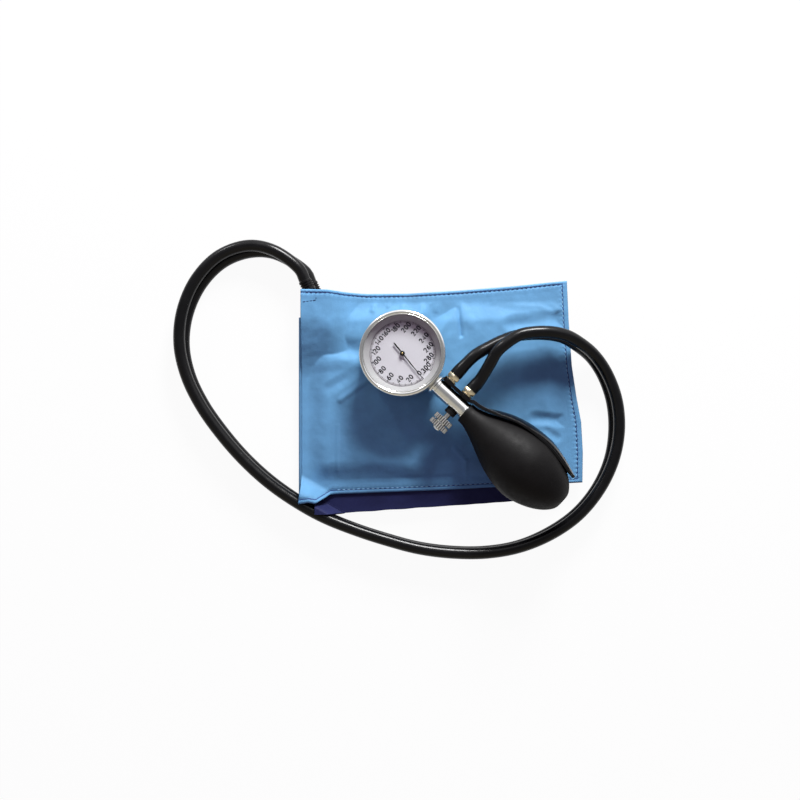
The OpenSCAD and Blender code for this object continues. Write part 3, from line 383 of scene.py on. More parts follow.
@dataclass(frozen=True)
class Enamel(Finish):
    """Painted or printed surface, smooth and nearly matt."""

    roughness: float = 0.45
    shine: float = 0.4

    def build(self) -> Shader:
        """Build even colour with a faint tone change."""
        shader = Shader(self.label)
        shader.tint(self.colour, (14.0, 2.0), (0.3, 0.7), 0.97, 1.02)
        shader.feed("Normal", shader.bump(shader.noise(0.6, 2.0), 0.004, 0.4))
        shader.put(Roughness=self.roughness, Specular_IOR_Level=self.shine)
        return shader


@dataclass(frozen=True)
class Glass(Finish):
    """Clear lens."""

    roughness: float = 0.02

    def build(self) -> Shader:
        """Build clear glass that lets lamp light through to the dial."""
        shader = Shader(self.label)
        shader.tint(self.colour, (30.0, 1.0), (0.3, 0.7), 1.0, 1.1)
        shader.put(Roughness=self.roughness, IOR=1.47, Alpha=0.09, Specular_IOR_Level=0.7)
        return shader


SKY_NYLON = Nylon("sky_nylon", (0.128, 0.335, 0.575))
# Darker cloth for the band along each hem's stitch groove: painted shade in the groove.
GROOVE_SHADE_NYLON = Nylon("groove_shade_nylon", (0.03, 0.075, 0.22), sheen=0.0)
NAVY_LINING = Nylon("navy_lining", (0.014, 0.018, 0.08), roughness=0.65, sheen=0.05)
HOOK_TAPE = Nylon("hook_tape", (0.02, 0.02, 0.025), weave_mm=1.2)
LOOP_TAPE = Nylon("loop_tape", (0.03, 0.035, 0.09), weave_mm=0.9)
THREAD = Nylon("navy_thread", (0.02, 0.035, 0.12), weave_mm=0.2)
PALE_THREAD = Nylon("pale_thread", (0.26, 0.5, 0.68), weave_mm=0.2)
HOSE_RUBBER = Rubber(
    "hose_rubber", (0.005, 0.005, 0.0055), roughness=0.2, grain_mm=1.0, grain_depth=0.01, shine=0.22
)
BULB_RUBBER = Rubber(
    "bulb_rubber", (0.0062, 0.0058, 0.006), roughness=0.52, grain_mm=1.0, grain_depth=0.12, shine=0.12
)
BLADDER_RUBBER = Rubber("bladder_rubber", (0.03, 0.03, 0.032), roughness=0.6)
SEAL_RUBBER = Rubber("seal_rubber", (0.004, 0.004, 0.004), roughness=0.5, shine=0.1)
FLAP_RUBBER = Rubber("flap_rubber", (0.22, 0.05, 0.03), roughness=0.55)
BLACK_PLASTIC = GlossPlastic("black_plastic", (0.004, 0.004, 0.0045), roughness=0.3, shine=0.3)
LEVER_PLASTIC = GlossPlastic("lever_plastic", (0.004, 0.004, 0.0045), roughness=0.14, shine=0.25)
CHROME = Plated("chrome", (0.84, 0.84, 0.83), roughness=0.1)
SATIN_CASE = Plated("satin_case", (0.62, 0.61, 0.58), roughness=0.26)
BRIGHT_STEEL = Plated("bright_steel", (0.56, 0.56, 0.57), roughness=0.2)
# Dark steel for the knob's knurl valleys and groove walls: painted shade.
KNURL_SHADE_STEEL = Plated("knurl_shade_steel", (0.07, 0.07, 0.075), roughness=0.4)
WASHED_BRASS = Plated("washed_brass", (0.88, 0.77, 0.56), roughness=0.16)
CLOCK_BRASS = Plated("clock_brass", (0.78, 0.57, 0.25), roughness=0.24)
DIAL_WHITE = Enamel("dial_white", (0.86, 0.87, 0.91), shine=0.1)
RIM_GREY = Enamel("rim_grey", (0.56, 0.57, 0.57), roughness=0.35, shine=0.2)
INK = Enamel("dial_ink", (0.004, 0.004, 0.008), shine=0.05)
FAINT_INK = Enamel("faint_ink", (0.10, 0.075, 0.08), shine=0.05)
POINTER_BLACK = Enamel("pointer_black", (0.005, 0.005, 0.005), roughness=0.5, shine=0.1)
LENS_GLASS = Glass("lens_glass", (0.02, 0.022, 0.025))


# ---- Making and placing pieces ------------------------------------------------------------


def publish(
    bm: bmesh.types.BMesh,
    name: str,
    finish: Finish,
    place: Matrix,
    body: str = ROOT,
    replaces: Sequence[str] = (),
    sharp: float = 32.0,
) -> bpy.types.Object:
    """Turn a bmesh in millimetres into a placed, dressed piece that rides on a body.

    Args:
        bm: The piece's mesh, which is freed here.
        name: The piece's name.
        finish: What it is made of.
        place: The matrix from the mesh's frame to metres.
        body: The CAD body that it moves with.
        replaces: The CAD nodes that it stands for.
        sharp: The angle in degrees past which an edge stays sharp.

    Returns:
        The finished object.
    """
    bm.transform(place)
    mesh = bpy.data.meshes.new(name)
    bm.to_mesh(mesh)
    bm.free()
    mesh.shade_smooth()
    mesh.set_sharp_from_angle(angle=math.radians(sharp))
    made = bpy.data.objects.new(name, mesh)
    bpy.context.scene.collection.objects.link(made)
    mesh.materials.append(finish.material())
    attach(made, body)
    if replaces:
        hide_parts(*replaces)
    LOG.info("%s: %d faces on %s", name, len(mesh.polygons), body)
    return made


def soften(piece: bpy.types.Object, width_mm: float, segments: int = 2, angle: float = 35.0) -> bpy.types.Object:
    """Round a piece's sharp edges with a bevel."""
    bevel = piece.modifiers.new("round_edges", "BEVEL")
    bevel.width = width_mm * MM
    bevel.segments = segments
    bevel.limit_method = "ANGLE"
    bevel.angle_limit = math.radians(angle)
    bevel.harden_normals = True
    return piece


def thicken(piece: bpy.types.Object, thickness_mm: float, offset: float = 0.0) -> None:
    """Give a sheet of cloth its thickness."""
    wall = piece.modifiers.new("cloth", "SOLIDIFY")
    wall.thickness = thickness_mm * MM
    wall.offset = offset


def sheet(columns: int, rows: int) -> bmesh.types.BMesh:
    """Return a flat grid from -0.5 to 0.5 across and up."""
    bm = bmesh.new()
    bmesh.ops.create_grid(bm, x_segments=columns, y_segments=rows, size=0.5)
    return bm


def grow(bm: bmesh.types.BMesh) -> list[bmesh.types.BMVert]:
    """Extrude all faces of a sheet and return the new vertices, which still lie on the old ones."""
    grown = bmesh.ops.extrude_face_region(bm, geom=bm.faces[:])
    return [item for item in grown["geom"] if isinstance(item, bmesh.types.BMVert)]


def turned(outline: Outline, steps: int = 96) -> bmesh.types.BMesh:
    """Spin an outline of radius and height round Z.

    Args:
        outline: Points of radius and height. The last joins the first, unless both are on the axis.
        steps: The number of faces round the axis.

    Returns:
        A closed mesh whose faces point outwards.
    """
    bm = bmesh.new()
    points = [bm.verts.new((radius, 0.0, height)) for radius, height in outline]
    pairs = list(zip(points, points[1:]))
    if outline[0][0] > 0.0 or outline[-1][0] > 0.0:
        pairs.append((points[-1], points[0]))
    lines = [bm.edges.new(pair) for pair in pairs]
    bmesh.ops.spin(
        bm, geom=points + lines, cent=(0, 0, 0), axis=(0, 0, 1), angle=2 * math.pi, steps=steps, use_merge=True
    )
    bmesh.ops.remove_doubles(bm, verts=bm.verts, dist=1e-4)
    bmesh.ops.recalc_face_normals(bm, faces=bm.faces)
    return bm


def add_ring(bm: bmesh.types.BMesh, outline: Outline, steps: int, place: Matrix) -> None:
    """Add a turned ring to a mesh, moved by a matrix."""
    ring = turned(outline, steps)
    ring.transform(place)
    mesh = bpy.data.meshes.new("ring")
    ring.to_mesh(mesh)
    ring.free()
    bm.from_mesh(mesh)
    bpy.data.meshes.remove(mesh)


def arc(centre: tuple[float, float], radius: float, start: float, end: float, steps: int) -> Outline:
    """Return points on an arc of an outline, with angles in degrees."""
    angles = [math.radians(start + (end - start) * k / steps) for k in range(steps + 1)]
    return [(centre[0] + radius * math.cos(a), centre[1] + radius * math.sin(a)) for a in angles]


def ease(value: np.ndarray | float) -> np.ndarray | float:
    """Return a smooth step from 0 to 1."""
    held = np.clip(value, 0.0, 1.0)
    return held * held * (3 - 2 * held)


def flow(points: Sequence[Vector], spacing: float) -> list[Vector]:
    """Return evenly dense points on a smooth curve through the given ones.

    Args:
        points: The points to pass through.
        spacing: The distance between returned points, about.

    Returns:
        Points on a centripetal curve, with both ends kept.
    """
    padded = [2 * points[0] - points[1], *points, 2 * points[-1] - points[-2]]
    run: list[Vector] = []
    for p0, p1, p2, p3 in zip(padded, padded[1:], padded[2:], padded[3:]):
        k1, k2, k3 = ((b - a).length ** 0.5 for a, b in ((p0, p1), (p1, p2), (p2, p3)))
        out = (p1 - p0) / k1 - (p2 - p0) / (k1 + k2) + (p2 - p1) / k2
        back = (p2 - p1) / k2 - (p3 - p1) / (k2 + k3) + (p3 - p2) / k3
        steps = max(2, round((p2 - p1).length / spacing))
        for index in range(steps):
            t = index / steps
            run.append(
                p1 * (2 * t**3 - 3 * t**2 + 1)
                + out * k2 * (t**3 - 2 * t**2 + t)
                + p2 * (3 * t**2 - 2 * t**3)
                + back * k2 * (t**3 - t**2)
            )
    run.append(points[-1].copy())
    return run


def dress(nodes: dict[str, bpy.types.Object], finish: Finish, *names: str) -> None:
    """Give CAD nodes that stay in view a finish of their own."""
    for name in names:
        mesh = nodes[name].data
        mesh.materials.clear()
        mesh.materials.append(finish.material())


# ---- Camera, light and floor --------------------------------------------------------------


@dataclass
class Studio:
    """The camera straight above, soft lamps and a pale floor."""

    camera_at: tuple[float, float, float] = (-0.0296, -0.0019, 1.0)
    view_width: float = 0.576
    key_at: tuple[float, float, float] = (0.22, 1.0, 0.56)
    key_power: float = 22.0
    key_size: float = 0.36
    side_at: tuple[float, float, float] = (-0.6, 0.95, 0.42)
    side_power: float = 2.2
    side_size: float = 0.16
    fill_level: float = 0.2
    fill_colour: Colour = (1.0, 0.74, 1.0)
    sensor_mm: float = 36.0
    floor_half: float = 4.0
    floor_z: float = -0.0001
    floor_white: float = 0.95
    bright_side: tuple[float, float, float] = (0.2, 0.97, 0.1)
    mirror_level: float = 1.32
    mirrored_room: Sequence[tuple[float, Colour]] = (
        (0.0, (0.42, 0.38, 0.29)), (0.3, (0.38, 0.36, 0.31)), (0.5, (0.2, 0.2, 0.2)), (0.68, (0.24, 0.24, 0.25)),
        (0.76, (0.4, 0.4, 0.41)), (0.79, (0.93, 0.93, 0.95)), (1.0, (1.0, 1.0, 1.0)),
    )  # fmt: skip

    def build(self) -> None:
        """Make the camera, the lamps, the world and the floor."""
        scene = bpy.context.scene
        scene.view_settings.view_transform = "Standard"
        lens = bpy.data.cameras.new("photo_camera")
        lens.sensor_width = self.sensor_mm
        lens.lens = self.sensor_mm * self.camera_at[2] / self.view_width
        camera = bpy.data.objects.new("photo_camera", lens)
        camera.location = self.camera_at
        scene.collection.objects.link(camera)
        scene.camera = camera
        self.lamp("key_lamp", self.key_at, self.key_power, self.key_size)
        self.lamp("side_lamp", self.side_at, self.side_power, self.side_size)
        self.world(scene)
        self.floor()

    def lamp(self, name: str, at: tuple[float, float, float], power: float, size: float) -> None:
        """Make one square lamp that faces the object."""
        light = bpy.data.lights.new(name, "AREA")
        light.energy = power
        light.size = size
        made = bpy.data.objects.new(name, light)
        made.location = at
        made.rotation_euler = (-Vector(at)).to_track_quat("-Z", "Y").to_euler()
        bpy.context.scene.collection.objects.link(made)

    def world(self, scene: bpy.types.Scene) -> None:
        """Make a world that is white to the camera, a faint fill, and a room with a bright side to metal."""
        world = bpy.data.worlds.new("pale_room")
        scene.world = world
        world.use_nodes = True
        world.node_tree.nodes.clear()
        nodes = Nodes(world.node_tree)
        seen = nodes.glow("ShaderNodeBackground", (1.0, 1.0, 1.0), 1.0)
        fill = nodes.glow("ShaderNodeBackground", self.fill_colour, self.fill_level)
        mirrored = nodes.glow("ShaderNodeBackground", (1.0, 1.0, 1.0), self.mirror_level)
        nodes.link(self.room(nodes), mirrored.node.inputs["Color"])
        path = nodes.node("ShaderNodeLightPath").outputs
        base = nodes.blend(path["Is Glossy Ray"], fill, mirrored)
        direct = nodes.math("MAXIMUM", path["Is Camera Ray"], path["Is Transmission Ray"])
        out = nodes.node("ShaderNodeOutputWorld")
        nodes.link(nodes.blend(direct, base, seen), out.inputs["Surface"])

    def room(self, nodes: Nodes) -> Value:
        """Return the colour that metal mirrors, by how far a direction points to the bright side."""
        toward = nodes.node("ShaderNodeVectorMath", operation="DOT_PRODUCT")
        toward.inputs[1].default_value = self.bright_side
        nodes.link(nodes.node("ShaderNodeTexCoord").outputs["Generated"], toward.inputs[0])
        part = nodes.node("ShaderNodeMapRange")
        part.inputs["From Min"].default_value = -1.0
        nodes.link(toward.outputs["Value"], part.inputs["Value"])
        return nodes.ramp(part.outputs["Result"], self.mirrored_room)

    def floor(self) -> None:
        """Make the pale floor, which keeps a soft shadow of the object."""
        bm = bmesh.new()
        bmesh.ops.create_grid(bm, x_segments=1, y_segments=1, size=self.floor_half)
        bmesh.ops.translate(bm, verts=bm.verts, vec=(0, 0, self.floor_z))
        mesh = bpy.data.meshes.new("pale_floor")
        bm.to_mesh(mesh)
        bm.free()
        made = bpy.data.objects.new("pale_floor", mesh)
        bpy.context.scene.collection.objects.link(made)
        shader = Shader("floor_white")
        shader.put(Base_Color=(0.9, 0.9, 0.9), Roughness=0.8)
        glow = shader.glow("ShaderNodeEmission", (1.0, 1.0, 1.0), 1.0)
        path = shader.node("ShaderNodeLightPath").outputs
        seen = shader.math("MAXIMUM", path["Is Camera Ray"], path["Is Glossy Ray"])
        seen = shader.math("MAXIMUM", seen, path["Is Transmission Ray"])
        share = shader.math("MULTIPLY", seen, self.floor_white)
        out = shader.tree.nodes["Material Output"]
        shader.link(shader.blend(share, shader.surface.outputs[0], glow), out.inputs["Surface"])
        mesh.materials.append(shader.material)


# ---- Hoses --------------------------------------------------------------------------------


@dataclass
class HosePair:
    """Two rubber hoses that run one above the other from the head round to the cuff's corner."""

    outer: float = 8.5
    pitch: float = 8.8
    hose_face: float = 13.85
    grip: float = 9.5
    swell: float = 0.09
    fitting_a: float = 7.4
    fitting_b: float = 22.4
    port_turn: tuple[float, float] = (0.42, -0.91)
    port_a: Spot = (-97.2, 83.0, 13.8)
    port_b: Spot = (-93.4, 81.8, 4.9)
    head_a: Sequence[Spot] = ((32.5, 22.5, 34.7), (38, 32, 36.4), (45.5, 38.5, 36.2))
    head_b: Sequence[Spot] = ((23, 29.5, 31.3), (33.5, 35.5, 29), (44, 40.5, 26.9))
    stations: Sequence[tuple[float, float, float, float]] = (
        (54, 43.5, 22, 0), (71, 45, 20.5, 8), (85, 43, 17.5, 10), (97, 37, 11, 12), (108, 28.5, 4, 12),
        (117, 15.5, 0.5, 14), (123.5, -3, 0, 16), (125, -24, 0, 15), (121.3, -45, 0, 9), (111.8, -65.4, 0, 5),
        (96.8, -83.6, 0, 4), (77.3, -97.2, 0, 3), (55, -106.5, 0, 0), (32, -110.5, 0, 0), (8, -110.5, 0, 0),
        (-16, -107.5, 0, 0), (-39, -101.5, 0, 0), (-62, -94, 0, 0), (-84, -85, 0, 2), (-104, -73.5, 0, 6),
        (-123, -60, 0, 7), (-141, -43.5, 0, 7), (-157, -25, 0, 8), (-171, -5, 0, 8), (-181, 16, 0, 9),
        (-185.5, 38, 0, 13), (-183, 61, 0, 20), (-173, 83, 0, 27), (-157, 99, 0, 31), (-137, 106, 0, 26),
        (-119, 103.5, 0.5, 8),
    )  # fmt: skip

    def station(self, index: int, side: int) -> Vector:
        """Return the middle of the upper (1) or lower (-1) hose at a station of the pair."""
        before, after = self.stations[max(index - 1, 0)], self.stations[min(index + 1, len(self.stations) - 1)]
        run = Vector((after[0] - before[0], after[1] - before[1], 0))
        steep = math.hypot(run.length, after[2] - before[2]) / run.length
        out = Vector((-run.y, run.x, 0)).normalized()
        x, y, lift, lean = self.stations[index]
        lean = math.radians(lean)
        half = self.pitch / 2
        middle = Vector((x, y, lift + self.outer / 2 + half * math.cos(lean)))
        return middle + side * half * (Vector((0, 0, math.cos(lean) * steep)) + out * math.sin(lean))

    def route(self, at: float, side: int, own: Sequence[Spot], mouth: Spot) -> list[Vector]:
        """Return a hose's route in metres, from its fitting to its sleeve.

        Args:
            at: The fitting's distance along the neck.
            side: 1 for the upper hose, -1 for the lower one.
            own: The points that only this hose passes, after its fitting.
            mouth: The mouth of its sleeve.

        Returns:
            The points that the hose passes.
        """
        head = HEAD.matrix()
        start = [head @ Vector((-at, self.hose_face + reach, 0)) for reach in (0.0, self.outer)]
        turn = Vector((*self.port_turn, 0)).normalized()
        end = [Vector(mouth) - turn * self.outer, Vector(mouth)]
        pair = [self.station(index, side) for index in range(len(self.stations))]
        return start + [p * MM for p in [*(Vector(p) for p in own), *pair, *end]]

    def build(self) -> list[bpy.types.Object]:
        """Make both hoses as declared cords."""
        upper = self.route(self.fitting_a, 1, self.head_a, self.port_a)
        lower = self.route(self.fitting_b, -1, self.head_b, self.port_b)
        return [self.hose("upper_hose", upper, "hose_a"), self.hose("lower_hose", lower, "hose_b")]
    # Make both hoses as curves.

    def hose(self, name: str, route: list[Vector], node: str) -> bpy.types.Object:
        """Make one hose along its route."""
        points = flow(route, 0.003)
        curve = bpy.data.curves.new(name, "CURVE")
        curve.dimensions = "3D"
        curve.bevel_depth = self.outer / 2 * MM
        curve.bevel_resolution = 6
        curve.use_fill_caps = True
        spline = curve.splines.new("POLY")
        spline.points.add(len(points) - 1)
        for target, point in zip(spline.points, points):
            target.co = (*point, 1.0)
            target.radius = 1 + self.swell * float(ease((self.grip * MM - (point - points[0]).length) / (3 * MM)))
        spline.use_smooth = True
        made = bpy.data.objects.new(name, curve)
        bpy.context.scene.collection.objects.link(made)
        curve.materials.append(HOSE_RUBBER.material())
        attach(made, ROOT)
        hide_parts(node)
        return made


# ---- Folded cuff --------------------------------------------------------------------------


@dataclass(frozen=True)
class Fold:
    """A valley (depth above 0) or ridge (below 0) that a stroke draws in the cover."""

    start: tuple[float, float]
    end: tuple[float, float]
    reach: float
    depth: float
    sharp: bool = False

    def dip(self, x: np.ndarray, y: np.ndarray) -> np.ndarray:
        """Return how far the cover sinks at each point."""
        run = np.array(self.end) - np.array(self.start)
        t = ((x - self.start[0]) * run[0] + (y - self.start[1]) * run[1]) / (run @ run)
        held = np.clip(t, 0, 1)
        gap = np.hypot(x - self.start[0] - held * run[0], y - self.start[1] - held * run[1])
        fade = np.sqrt(ease(1.15 - np.abs(t - 0.5)))
        near = np.clip(1 - gap / self.reach, 0, 1)
        return self.depth * fade * (near**1.6 if self.sharp else ease(near))


@dataclass
class FoldedCuff:
    """The arm cuff, folded in three, with its cover, its lower layers and its sewing."""

    left: float = -99.9
    seam_z: float = 7.6
    fabric: float = 0.9
    crown: float = 4.3
    hem: float = 7.0
    bladder_size: tuple[float, float] = (172.0, 116.0)
    bladder_mid: tuple[float, float] = (-3.0, 4.0)
    foot: float = 94.0
    hose_top: float = 17.3
    stitch_pitch: float = 3.3
    top_seam: float = 2.3
    side_seam: float = 4.0
    foot_seam: float = 3.0
    fold_gain: float = 1.45
    across: float = 195.0
    top_up: float = 150.0
    foot_up: float = 142.0
    block_low: Spot = (-97, 59.5, 0.5)
    block_high: Spot = (-82, 72.5, 15.9)
    block_edge: float = 2.2
    slab_thick: float = 0.86
    stitch: Spot = (1.15, 0.3, 0.3)
    folds: Sequence[Fold] = (
        Fold((10.2, 79), (13.9, 44), 2.6, 1.5, True),
        Fold((10.5, 77), (-13, 46), 10.0, 2.6),
        Fold((14, 66), (20, 52), 6.0, -0.5),
        Fold((-68.8, 68), (-71, 48), 2.4, -0.35),
        Fold((-46.7, 73), (-49, 62), 3.0, -0.6),
        Fold((-36, 73), (-38, 65), 2.6, -0.45),
        Fold((-26, 73), (-27.5, 62), 3.4, -0.6),
        Fold((-13.2, 73), (-14.6, 60), 3.0, -0.6),
        Fold((-2, 73), (-4, 62), 3.0, -0.45),
        Fold((34, 77), (37, 68), 3.4, -0.55),
        Fold((60, 79), (63, 71), 3.4, -0.5),
        Fold((-76, 72.5), (-88, 66.6), 3.0, 0.6),
        Fold((-84, 38), (-58, 33), 10.0, 1.5),
        Fold((-90, 24), (-66, 27), 8.0, -0.5),
        Fold((-72, -2), (-54.6, 11), 3.4, -0.6),
        Fold((-80, 6), (-60, 18), 6.0, 0.6),
        Fold((50, 52.3), (91, 56.6), 8.0, 1.5),
        Fold((45, 70), (88, 63), 7.0, -0.6),
        Fold((72.4, 68), (79.6, 63.7), 4.0, 0.5),
        Fold((66.7, -14.7), (95.3, -17.6), 6.0, 1.3),
        Fold((74, -23), (82.4, -29), 4.5, 0.6),
        Fold((-83, -65), (31, -59), 7.0, 1.1),
        Fold((8.9, -36), (16.8, -44.7), 2.6, -0.45),
        Fold((16.8, -44.7), (17.5, -59), 2.6, -0.45),
        Fold((-97, -60), (-69, -67.5), 5.0, 0.8),
        Fold((-73.8, -20), (-74.2, -52), 2.0, -0.28),
        Fold((-100, 60), (-86, 58.7), 3.4, 0.6),
        Fold((-40, -20), (-10, -34), 12.0, 0.7),
        Fold((-60, -40), (-20, -52), 9.0, -0.5),
    )

    def edges(self, a: np.ndarray, b: np.ndarray) -> tuple[np.ndarray, np.ndarray]:
        """Return the plan position of the cover's point at a across and b up, from 0 to 1."""
        right = np.interp(b, [0, 0.15, 0.3, 0.42, 0.58, 0.8, 1], [100.7, 101.0, 99.8, 96.5, 93.1, 90.9, 89.6])
        low = np.interp(a, [0, 0.035, 0.06, 0.11, 0.5, 1], [-75.5, -74.5, -75.3, -69.3, -66.2, -60.8])
        sag = np.interp(
            a, [0, 0.1, 0.16, 0.25, 0.4, 0.6, 0.8, 0.92, 1], [0, -1, -2.8, -4.4, -5.1, -4.2, -2.5, -0.9, 0]
        )
        high = 76.5 + 6.7 * a + sag
        left = self.left - 1.6 * ease(1 - b / 0.09)
        return left + (right - left) * a, low + (high - low) * b

    @staticmethod
    def hose_side(x: np.ndarray, y: np.ndarray) -> np.ndarray:
        """Return the distance from the hoses' line under the corner, positive into the cuff."""
        return (x + 94) * 0.5 + (y + 79.25) * 0.87

    def underside(self, x: np.ndarray, y: np.ndarray) -> np.ndarray:
        """Return the height of the cover's underside, as in the CAD model but smooth."""
        dx = (self.bladder_size[0] / 2 + self.hem - np.abs(x - self.bladder_mid[0])) / 16
        dy = (self.bladder_size[1] / 2 + self.hem - np.abs(y - self.bladder_mid[1])) / 16
        rise = self.crown * ease(dx) * ease(dy)
        valleys = self.fold_gain * sum(fold.dip(x, y) for fold in self.folds if fold.depth > 0)
        ridges = self.fold_gain * sum(fold.dip(x, y) for fold in self.folds if fold.depth < 0)
        crumpled = np.maximum(0, rise - valleys * ease(rise / 0.8)) - ridges * ease((rise + 0.4) / 1.2)
        over_hoses = (self.hose_top + 1.6 - self.seam_z) * ease((18.5 - self.hose_side(x, y)) / 13)
        over_ports = 11.15 * ease((-56 - x) / 26) * ease((y - 12) / 46)
        return self.seam_z + np.maximum(crumpled, np.maximum(over_hoses, over_ports))

    def lay(
        self, bm: bmesh.types.BMesh, name: str, finish: Finish, nodes: Sequence[str], sharp: float = 60
    ) -> bpy.types.Object:
        """Publish a piece whose mesh already lies in the cuff's frame."""
        return publish(bm, name, finish, CUFF_FRAME, replaces=nodes, sharp=sharp)

    def build(self) -> None:
        """Make every piece of the cuff."""
        self.cover()
        self.strip()
        self.corner_flap()
        self.sewing()
        self.air_bladder()
        self.neck_block()
        self.back_sheet()
        self.tapes()

    def cover(self) -> bpy.types.Object:
        """Make the top layer's cover as a padded, sewn sheet over the bladder."""
        bm = sheet(240, 180)
        flat = np.array([v.co[:2] for v in bm.verts]) + 0.5
        a, b = flat[:, 0], flat[:, 1]
        x, y = self.edges(a, b)
        z = self.underside(x, y) + self.fabric + self.hem_relief(a, b, x, y)
        inset, seam = self.hem_inset(a, b)
        bm.verts.index_update()
        # Faces along each hem's stitch groove take the darker cloth: painted shade in the groove.
        for face in bm.faces:
            if abs(np.mean([inset[v.index] - seam[v.index] for v in face.verts])) < 0.45:
                face.material_index = 1
        for vert, px, py, pz in zip(bm.verts, x, y, z):
            wander = 0.3 * noise.noise(Vector((px / 13, py / 13, 1.0)))
            wander += 0.12 * noise.noise(Vector((px / 5, py / 5, 4.0)))
            vert.co = (px, py, pz + wander * min(1.0, (pz - self.seam_z) / 3))
        made = self.lay(bm, "cuff_cover", SKY_NYLON, ["cuff_outer_sheet"], 75)
        made.data.materials.append(GROOVE_SHADE_NYLON.material())
        thicken(made, self.fabric, -1.0)
        return made

    def hem_inset(self, a: np.ndarray, b: np.ndarray) -> tuple[np.ndarray, np.ndarray]:
        """Return the distance from the nearest hemmed edge, and where that edge has its seam."""
        side, top, foot = (1 - a) * self.across, (1 - b) * self.top_up, b * self.foot_up
        inset = np.minimum(np.minimum(top, foot), side)
        return inset, np.where(inset == top, self.top_seam, np.where(inset == side, self.side_seam, self.foot_seam))

    def hem_relief(self, a: np.ndarray, b: np.ndarray, x: np.ndarray, y: np.ndarray) -> np.ndarray:
        """Return the relief of the hem: a doubled edge with a groove along its stitches."""
        inset, seam = self.hem_inset(a, b)
        groove = -0.5 * np.exp(-(((inset - seam) / 0.62) ** 2))
        along = np.where(inset == (1 - a) * self.across, y, x)
        pucker = 0.16 * np.cos(along * 2 * math.pi / self.stitch_pitch) * np.exp(-(((inset - seam - 0.5) / 1.5) ** 2))
        roll = -0.45 * ease(1 - inset / 0.9)
        step = -0.12 * ease((inset - seam - 3.0) / 1.2)
        return groove + pucker + roll + step

    def strip(self) -> bpy.types.Object:
        """Make the lower layers as one strip that turns up at the right and left folds."""
        rows, flat_steps, fold_steps = 90, 90, 14
        bottom_z, middle_z, top_z = 1.1, 5.4, 7.5
        path: list[tuple[float, float, float]] = []
        path += [(k / flat_steps, 0.0, bottom_z) for k in range(flat_steps)]
        radius = (middle_z - bottom_z) / 2
        for k in range(fold_steps + 1):
            angle = math.pi * (k / fold_steps - 0.5)
            path.append((1.0, radius * math.cos(angle), bottom_z + radius + radius * math.sin(angle)))
        path += [(1 - k / flat_steps, 0.0, middle_z) for k in range(1, flat_steps)]
        radius = (top_z - middle_z) / 2
        for k in range(fold_steps + 1):
            angle = math.pi * (k / fold_steps - 0.5)
            path.append((0.0, -radius * math.cos(angle), middle_z + radius + radius * math.sin(angle)))
        bm = sheet(len(path) - 1, rows)
        for vert in bm.verts:
            across, out, z = path[round((vert.co.x + 0.5) * (len(path) - 1))]
            t = vert.co.y + 0.5
            x = self.left + (self.foot - self.left) * across
            low = np.interp(
                x, [self.left, -92, -83, -74, 53, 85, 91, self.foot],
                [-70, -75.0, -80.2, -83.0, -74.3, -71.4, -61, -58],
            )
            low += 0.35 * noise.noise(Vector((x / 11, 3.0, 0.0))) * (1 if -70 < x < 84 else 0)
            high = np.interp(x, [self.left, -81, -79, 85.2], [57, 57, 64.6, 72.2])
            y = low + (high - low) * t
            lean = (self.foot - self.left - 8.8 * (y + 58) / 130.2) / (self.foot - self.left)
            x = self.left + (self.foot - self.left) * across * lean + out
            ripple = 0.14 * noise.noise(Vector((x / 17, y / 17, z)))
            groove = -0.35 * math.exp(-(((y - low - 4.2) / 0.6) ** 2)) if 4.9 < z < 6 else 0.0
            vert.co = (x, y, z + groove + ripple * (0 if z < 2 else 1))
        bmesh.ops.recalc_face_normals(bm, faces=bm.faces)
        nodes = ["cuff_middle_layer", "cuff_bottom_layer"]
        made = self.lay(bm, "folded_layers", NAVY_LINING, nodes, 80)
        made.data.materials.append(SKY_NYLON.material())
        for face in made.data.polygons:
            if face.center.x < (self.left + 0.4) * MM:
                face.material_index = 1
        thicken(made, 2.1)
        soften(made, 0.5, 3, 60)
        return made

    def corner_flap(self) -> bpy.types.Object:
        """Make the lining's corner that climbs over the hoses."""
        bm = sheet(30, 22)
        for vert in bm.verts:
            x = -90 + 21 * (vert.co.x + 0.5)
            top = (10 - (x + 94) * 0.5) / 0.87 - 79.25
            y = -83.0 + (top + 83.0) * (vert.co.y + 0.5)
            side = float(self.hose_side(np.array(x), np.array(y)))
            z = 6.2 + (self.hose_top + 0.3 - 6.2) * float(ease((9 - side) / 6))
            vert.co = (x, y, z + 0.5 + 0.2 * noise.noise(Vector((x / 6, y / 6, 7.0))))
        bmesh.ops.recalc_face_normals(bm, faces=bm.faces)
        made = self.lay(bm, "corner_flap", NAVY_LINING, ["cuff_middle_layer"], 80)
        thicken(made, 1.0)
        return soften(made, 0.3, 2, 60)

    def air_bladder(self) -> bpy.types.Object:
        """Make the rubber bladder as a flat pad with a rolled rim that fills the cover."""
        bm = sheet(86, 58)
        spots = np.array([v.co[:2] for v in bm.verts]) * 2
        x, y = self.rounded(spots, self.bladder_size[0] / 2 - 0.4, self.bladder_size[1] / 2 - 0.4)
        top = np.maximum(self.underside(x, y) - 0.45, self.seam_z + 0.3)
        rim = np.maximum(np.abs(spots[:, 0]), np.abs(spots[:, 1]))
        top = np.where(rim > 0.985, self.seam_z + 0.3, top)
        for vert, px, py, pz in zip(bm.verts, x, y, top):
            vert.co = (px, py, pz)
        for vert in grow(bm):
            vert.co.z = self.seam_z + 0.08
        bmesh.ops.recalc_face_normals(bm, faces=bm.faces)
        made = self.lay(bm, "air_bladder", BLADDER_RUBBER, ["bladder"])
        return made

